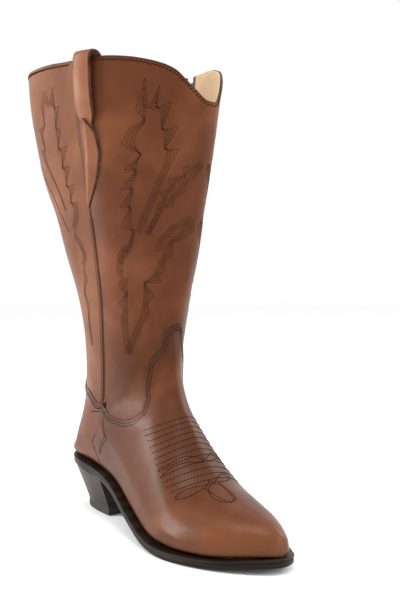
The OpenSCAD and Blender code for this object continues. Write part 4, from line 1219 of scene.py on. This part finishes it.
CHAIN_LOW, CHAIN_TOP, PITCH = 84.0, 357.0, 3.0
count = int((CHAIN_TOP - CHAIN_LOW) / PITCH)
for name, sgn, start in (("front", 1, 0.0), ("back", -1, 0.5)):
    bm = bmesh.new()
    for i in range(count):
        z = CHAIN_LOW + (i + start) * PITCH
        place = lambda p, z=z: on_zip(z, p)
        # a head toward the middle and a shank that grips the tape
        for ends, y0, y1, z0, z1, bevel in (((0.5, 1.7), -1.75, -0.6, 0.1, 1.9, 0.3),
                                            ((1.3, 3.2), -1.85, -0.55, 0.3, 1.7, 0.25)):
            x0, x1 = sorted(sgn * x for x in ends)
            rounded_box(bm, (x0, y0, z0), (x1, y1, z1), bevel, place, 1)
    bm_object("zip_teeth_" + name + "_row", bm, M_BRASS, "boot", ["zip_teeth_" + name])

bm = bmesh.new()
for sgn in (-1, 1):
    rounded_box(bm, (min(0.6 * sgn, 3.4 * sgn), -1.85, 0), (max(0.6 * sgn, 3.4 * sgn), -0.1, 2.5), 0.35,
                lambda p: on_zip(CHAIN_TOP + 2.6, p))
bm_object("zip_top_stop_pair", bm, M_BRASS, "boot", ["zip_top_stops"])
bm = bmesh.new()
rounded_box(bm, (-3.4, -1.85, 0), (3.4, -0.1, 3), 0.5, lambda p: on_zip(CHAIN_LOW - 4, p))
bm_object("zip_bottom_stop_box", bm, M_BRASS, "boot", ["zip_bottom_stop"])

SLIDER_Z, HINGE = 350.0, 3.5
bm = bmesh.new()


def put(p):
    """Slider frame; the body narrows below its middle."""
    return on_zip(SLIDER_Z, (p[0] * (1 - 0.045 * max(0.0, -p[2])), p[1], p[2]))


rounded_box(bm, (-4.2, -0.1, -5.5), (4.2, 1.3, 6), 0.45, put, 3)
rounded_box(bm, (-4.2, -4.6, -5.5), (4.2, -3.4, 6), 0.4, put, 3)
rounded_box(bm, (-0.4, -3.5, 2.5), (0.4, 0, 6), 0.1, put, 1)
for lo_x, hi_x in ((-3, -2.2), (2.2, 3)):
    rounded_box(bm, (lo_x, 1.2, -1.6), (hi_x, HINGE + 1, 1.6), 0.25, put, 2)
pin = bmesh.ops.create_cone(bm, cap_ends=True, segments=28, radius1=0.8, radius2=0.8, depth=5.2)["verts"]
for v in pin:
    q = np.array([v.co.z, HINGE + v.co.y, v.co.x])
    v.co = Vector(world(on_zip(SLIDER_Z, q)).tolist())
bm_object("zip_slider_body", bm, M_BRASS, "slider", ["zip_slider"])

# Pull: an eye round the pin and a tapered tab
prof_z = np.r_[np.linspace(-1.2, -4.5, 8), np.linspace(-5.2, -24.5, 20), np.linspace(-24.9, -26, 6)]


PULL_WIDTH = np.array([[-26, 0.6], [-25.6, 1.7], [-24.6, 2.5], [-22, 2.8], [-12, 2.2], [-5, 1.9],
                       [-3.4, 1.8], [-1.2, 1.8]])
PULL_T, CHAMFER = 0.6, 0.3
rings = []
for z in prof_z:
    w = table(PULL_WIDTH, z)
    corner = [(-w, CHAMFER - PULL_T), (CHAMFER - w, -PULL_T), (w - CHAMFER, -PULL_T), (w, CHAMFER - PULL_T)]
    rings.append([(x, y, z) for x, y in corner + [(x, -y) for x, y in corner[::-1]]])
rings = np.array(rings)
nr, m = rings.shape[:2]
verts = np.array([on_zip(SLIDER_Z, p + np.array([0, HINGE, 0])) for p in rings.reshape(-1, 3)])
faces = tube_faces(nr, m, False).tolist() + [list(range(m)), [(nr - 1) * m + j for j in range(m)]]
eye = []
seg = 36
for x, r in ((-1.8, 0.88), (-1.8, 1.6), (-1.65, 1.75), (1.65, 1.75), (1.8, 1.6), (1.8, 0.88)):
    for q in range(seg):
        t = 2 * math.pi * q / seg
        eye.append(on_zip(SLIDER_Z, (x, HINGE + r * math.cos(t), r * math.sin(t))))
base = len(verts)
verts = np.concatenate([verts, np.array(eye)])
faces += (tube_faces(6, seg, True) + base).tolist()
build("zip_pull_tab", verts, faces, [M_BRASS], "pull", ["zip_pull"], angle=30)

# ---------------------------------------------------------------- carried-over CAD nodes
SOCK_ROWS = np.array([[20, 12], [28, 17], [40, 20.5], [60, 23], [82, 24.5], [104, 26], [122, 28],
                      [140, 30], [158, 32.5], [177, 34], [196, 34], [212, 31.5], [228, 26], [242, 18.5],
                      [252, 12], [258, 7]], float)
CAD_LOOKS = {"insole_board": M_BOARD, "shank": M_STEEL, "cork_filler": M_CORK, "heel_nails": M_STEEL,
             "toe_puff": M_STIFF, "heel_stiffener": M_STIFF}
for name, mat in CAD_LOOKS.items():
    ob = frame["nodes"][name]
    if not ob.material_slots:
        ob.data.materials.append(mat)
    for part_slot in ob.material_slots:
        part_slot.material = mat

xs = np.linspace(12.5, 257.5, 110)
w = curve(SOCK_ROWS, xs)[:, 1]
zs = sole_z(xs) + 3.0 + 1.9
shares = [-1, -0.985, -0.94, -0.8, -0.5, -0.2, 0, 0.2, 0.5, 0.8, 0.94, 0.985, 1]
outer, inner = [], []
for x, hw, z in zip(xs, w, zs):
    yl, ym = 0.7 - hw, hw * 0.84 - 0.6
    mid, half = (yl + ym) / 2, (ym - yl) / 2
    crown = [1.15 * (1 - abs(f) ** 14) ** 0.5 + 0.05 + 0.25 * (1 - f * f) for f in shares]
    outer.append([(x, mid + half * f, z + min(c, 1.35)) for f, c in zip(shares, crown)])
    inner.append([(x, mid + half * f, z) for f in shares])
sheet_piece("sock_liner_pad", outer, inner, [M_SOCK], ["sock_liner"])

# ---------------------------------------------------------------- stage, light, camera
bm = bmesh.new()
bmesh.ops.create_circle(bm, cap_ends=True, segments=96, radius=9.0)
mesh = bpy.data.meshes.new("floor")
bm.to_mesh(mesh)
bm.free()
floor = bpy.data.objects.new("floor", mesh)
bpy.context.scene.collection.objects.link(floor)
fm, nt, b = material("floor_pale")
fine_noise = noise(nt, coords(nt), 6, 3)
pale = ramp(nt, fine_noise, [(0.3, (0.97, 0.97, 0.968)), (0.7, (0.99, 0.99, 0.988))])
nt.links.new(pale, b.inputs["Base Color"])
b.inputs["Roughness"].default_value = 0.75
b.inputs["Specular IOR Level"].default_value = 0.1
mesh.materials.append(fm)
floor.location.z = float(lift_lo[2]) - 0.0002

scene = bpy.context.scene
scene.view_settings.view_transform = "Standard"
wd = bpy.data.worlds.new("studio")
scene.world = wd
wd.use_nodes = True
bg = wd.node_tree.nodes["Background"]
bg.inputs[0].default_value = (1.0, 1.0, 1.0, 1)
bg.inputs[1].default_value = 1.0


def softbox(name, at, aim, size, power, colour=(1, 1, 1)):
    data = bpy.data.lights.new(name, "AREA")
    data.shape, data.size, data.size_y = "RECTANGLE", size[0], size[1]
    data.energy, data.color = power, colour
    ob = bpy.data.objects.new(name, data)
    ob.location = at
    ob.rotation_euler = (Vector(aim) - Vector(at)).to_track_quat("-Z", "Y").to_euler()
    bpy.context.scene.collection.objects.link(ob)
    return ob


softbox("key", (-0.75, -1.25, 0.6), (-0.02, 0.0, 0.22), (0.35, 1.2), 28)
softbox("front_strip", (1.3, 0.75, 0.6), (0.0, 0.0, 0.15), (0.14, 1.2), 11)
softbox("top", (0.1, -0.2, 1.5), (0.0, 0.0, 0.1), (0.5, 0.5), 6)
softbox("far_side", (0.2, 1.4, 0.9), (0.0, 0.0, 0.2), (1.0, 1.0), 10)

cam_data = bpy.data.cameras.new("camera")
cam_data.lens, cam_data.sensor_width, cam_data.sensor_fit = 53.7, 36.0, "AUTO"
cam = bpy.data.objects.new("camera", cam_data)
# azimuth and distance in mm round the point AIM_X on the boot's middle line, and the camera's own turn
AZ, DIST, AIM_X, CAM_H, YAW, PITCH_DOWN = 56.0, 690.0, 155.0, 193.0, 55.0, 1.0
eye_x, eye_y = AIM_X + DIST * math.sin(math.radians(AZ)), -DIST * math.cos(math.radians(AZ))
cam.location = Vector(world((eye_x, eye_y, CAM_H)).tolist())
cam.rotation_euler = (math.radians(90 - PITCH_DOWN), 0, math.radians(YAW))
bpy.context.scene.collection.objects.link(cam)
scene.camera = cam
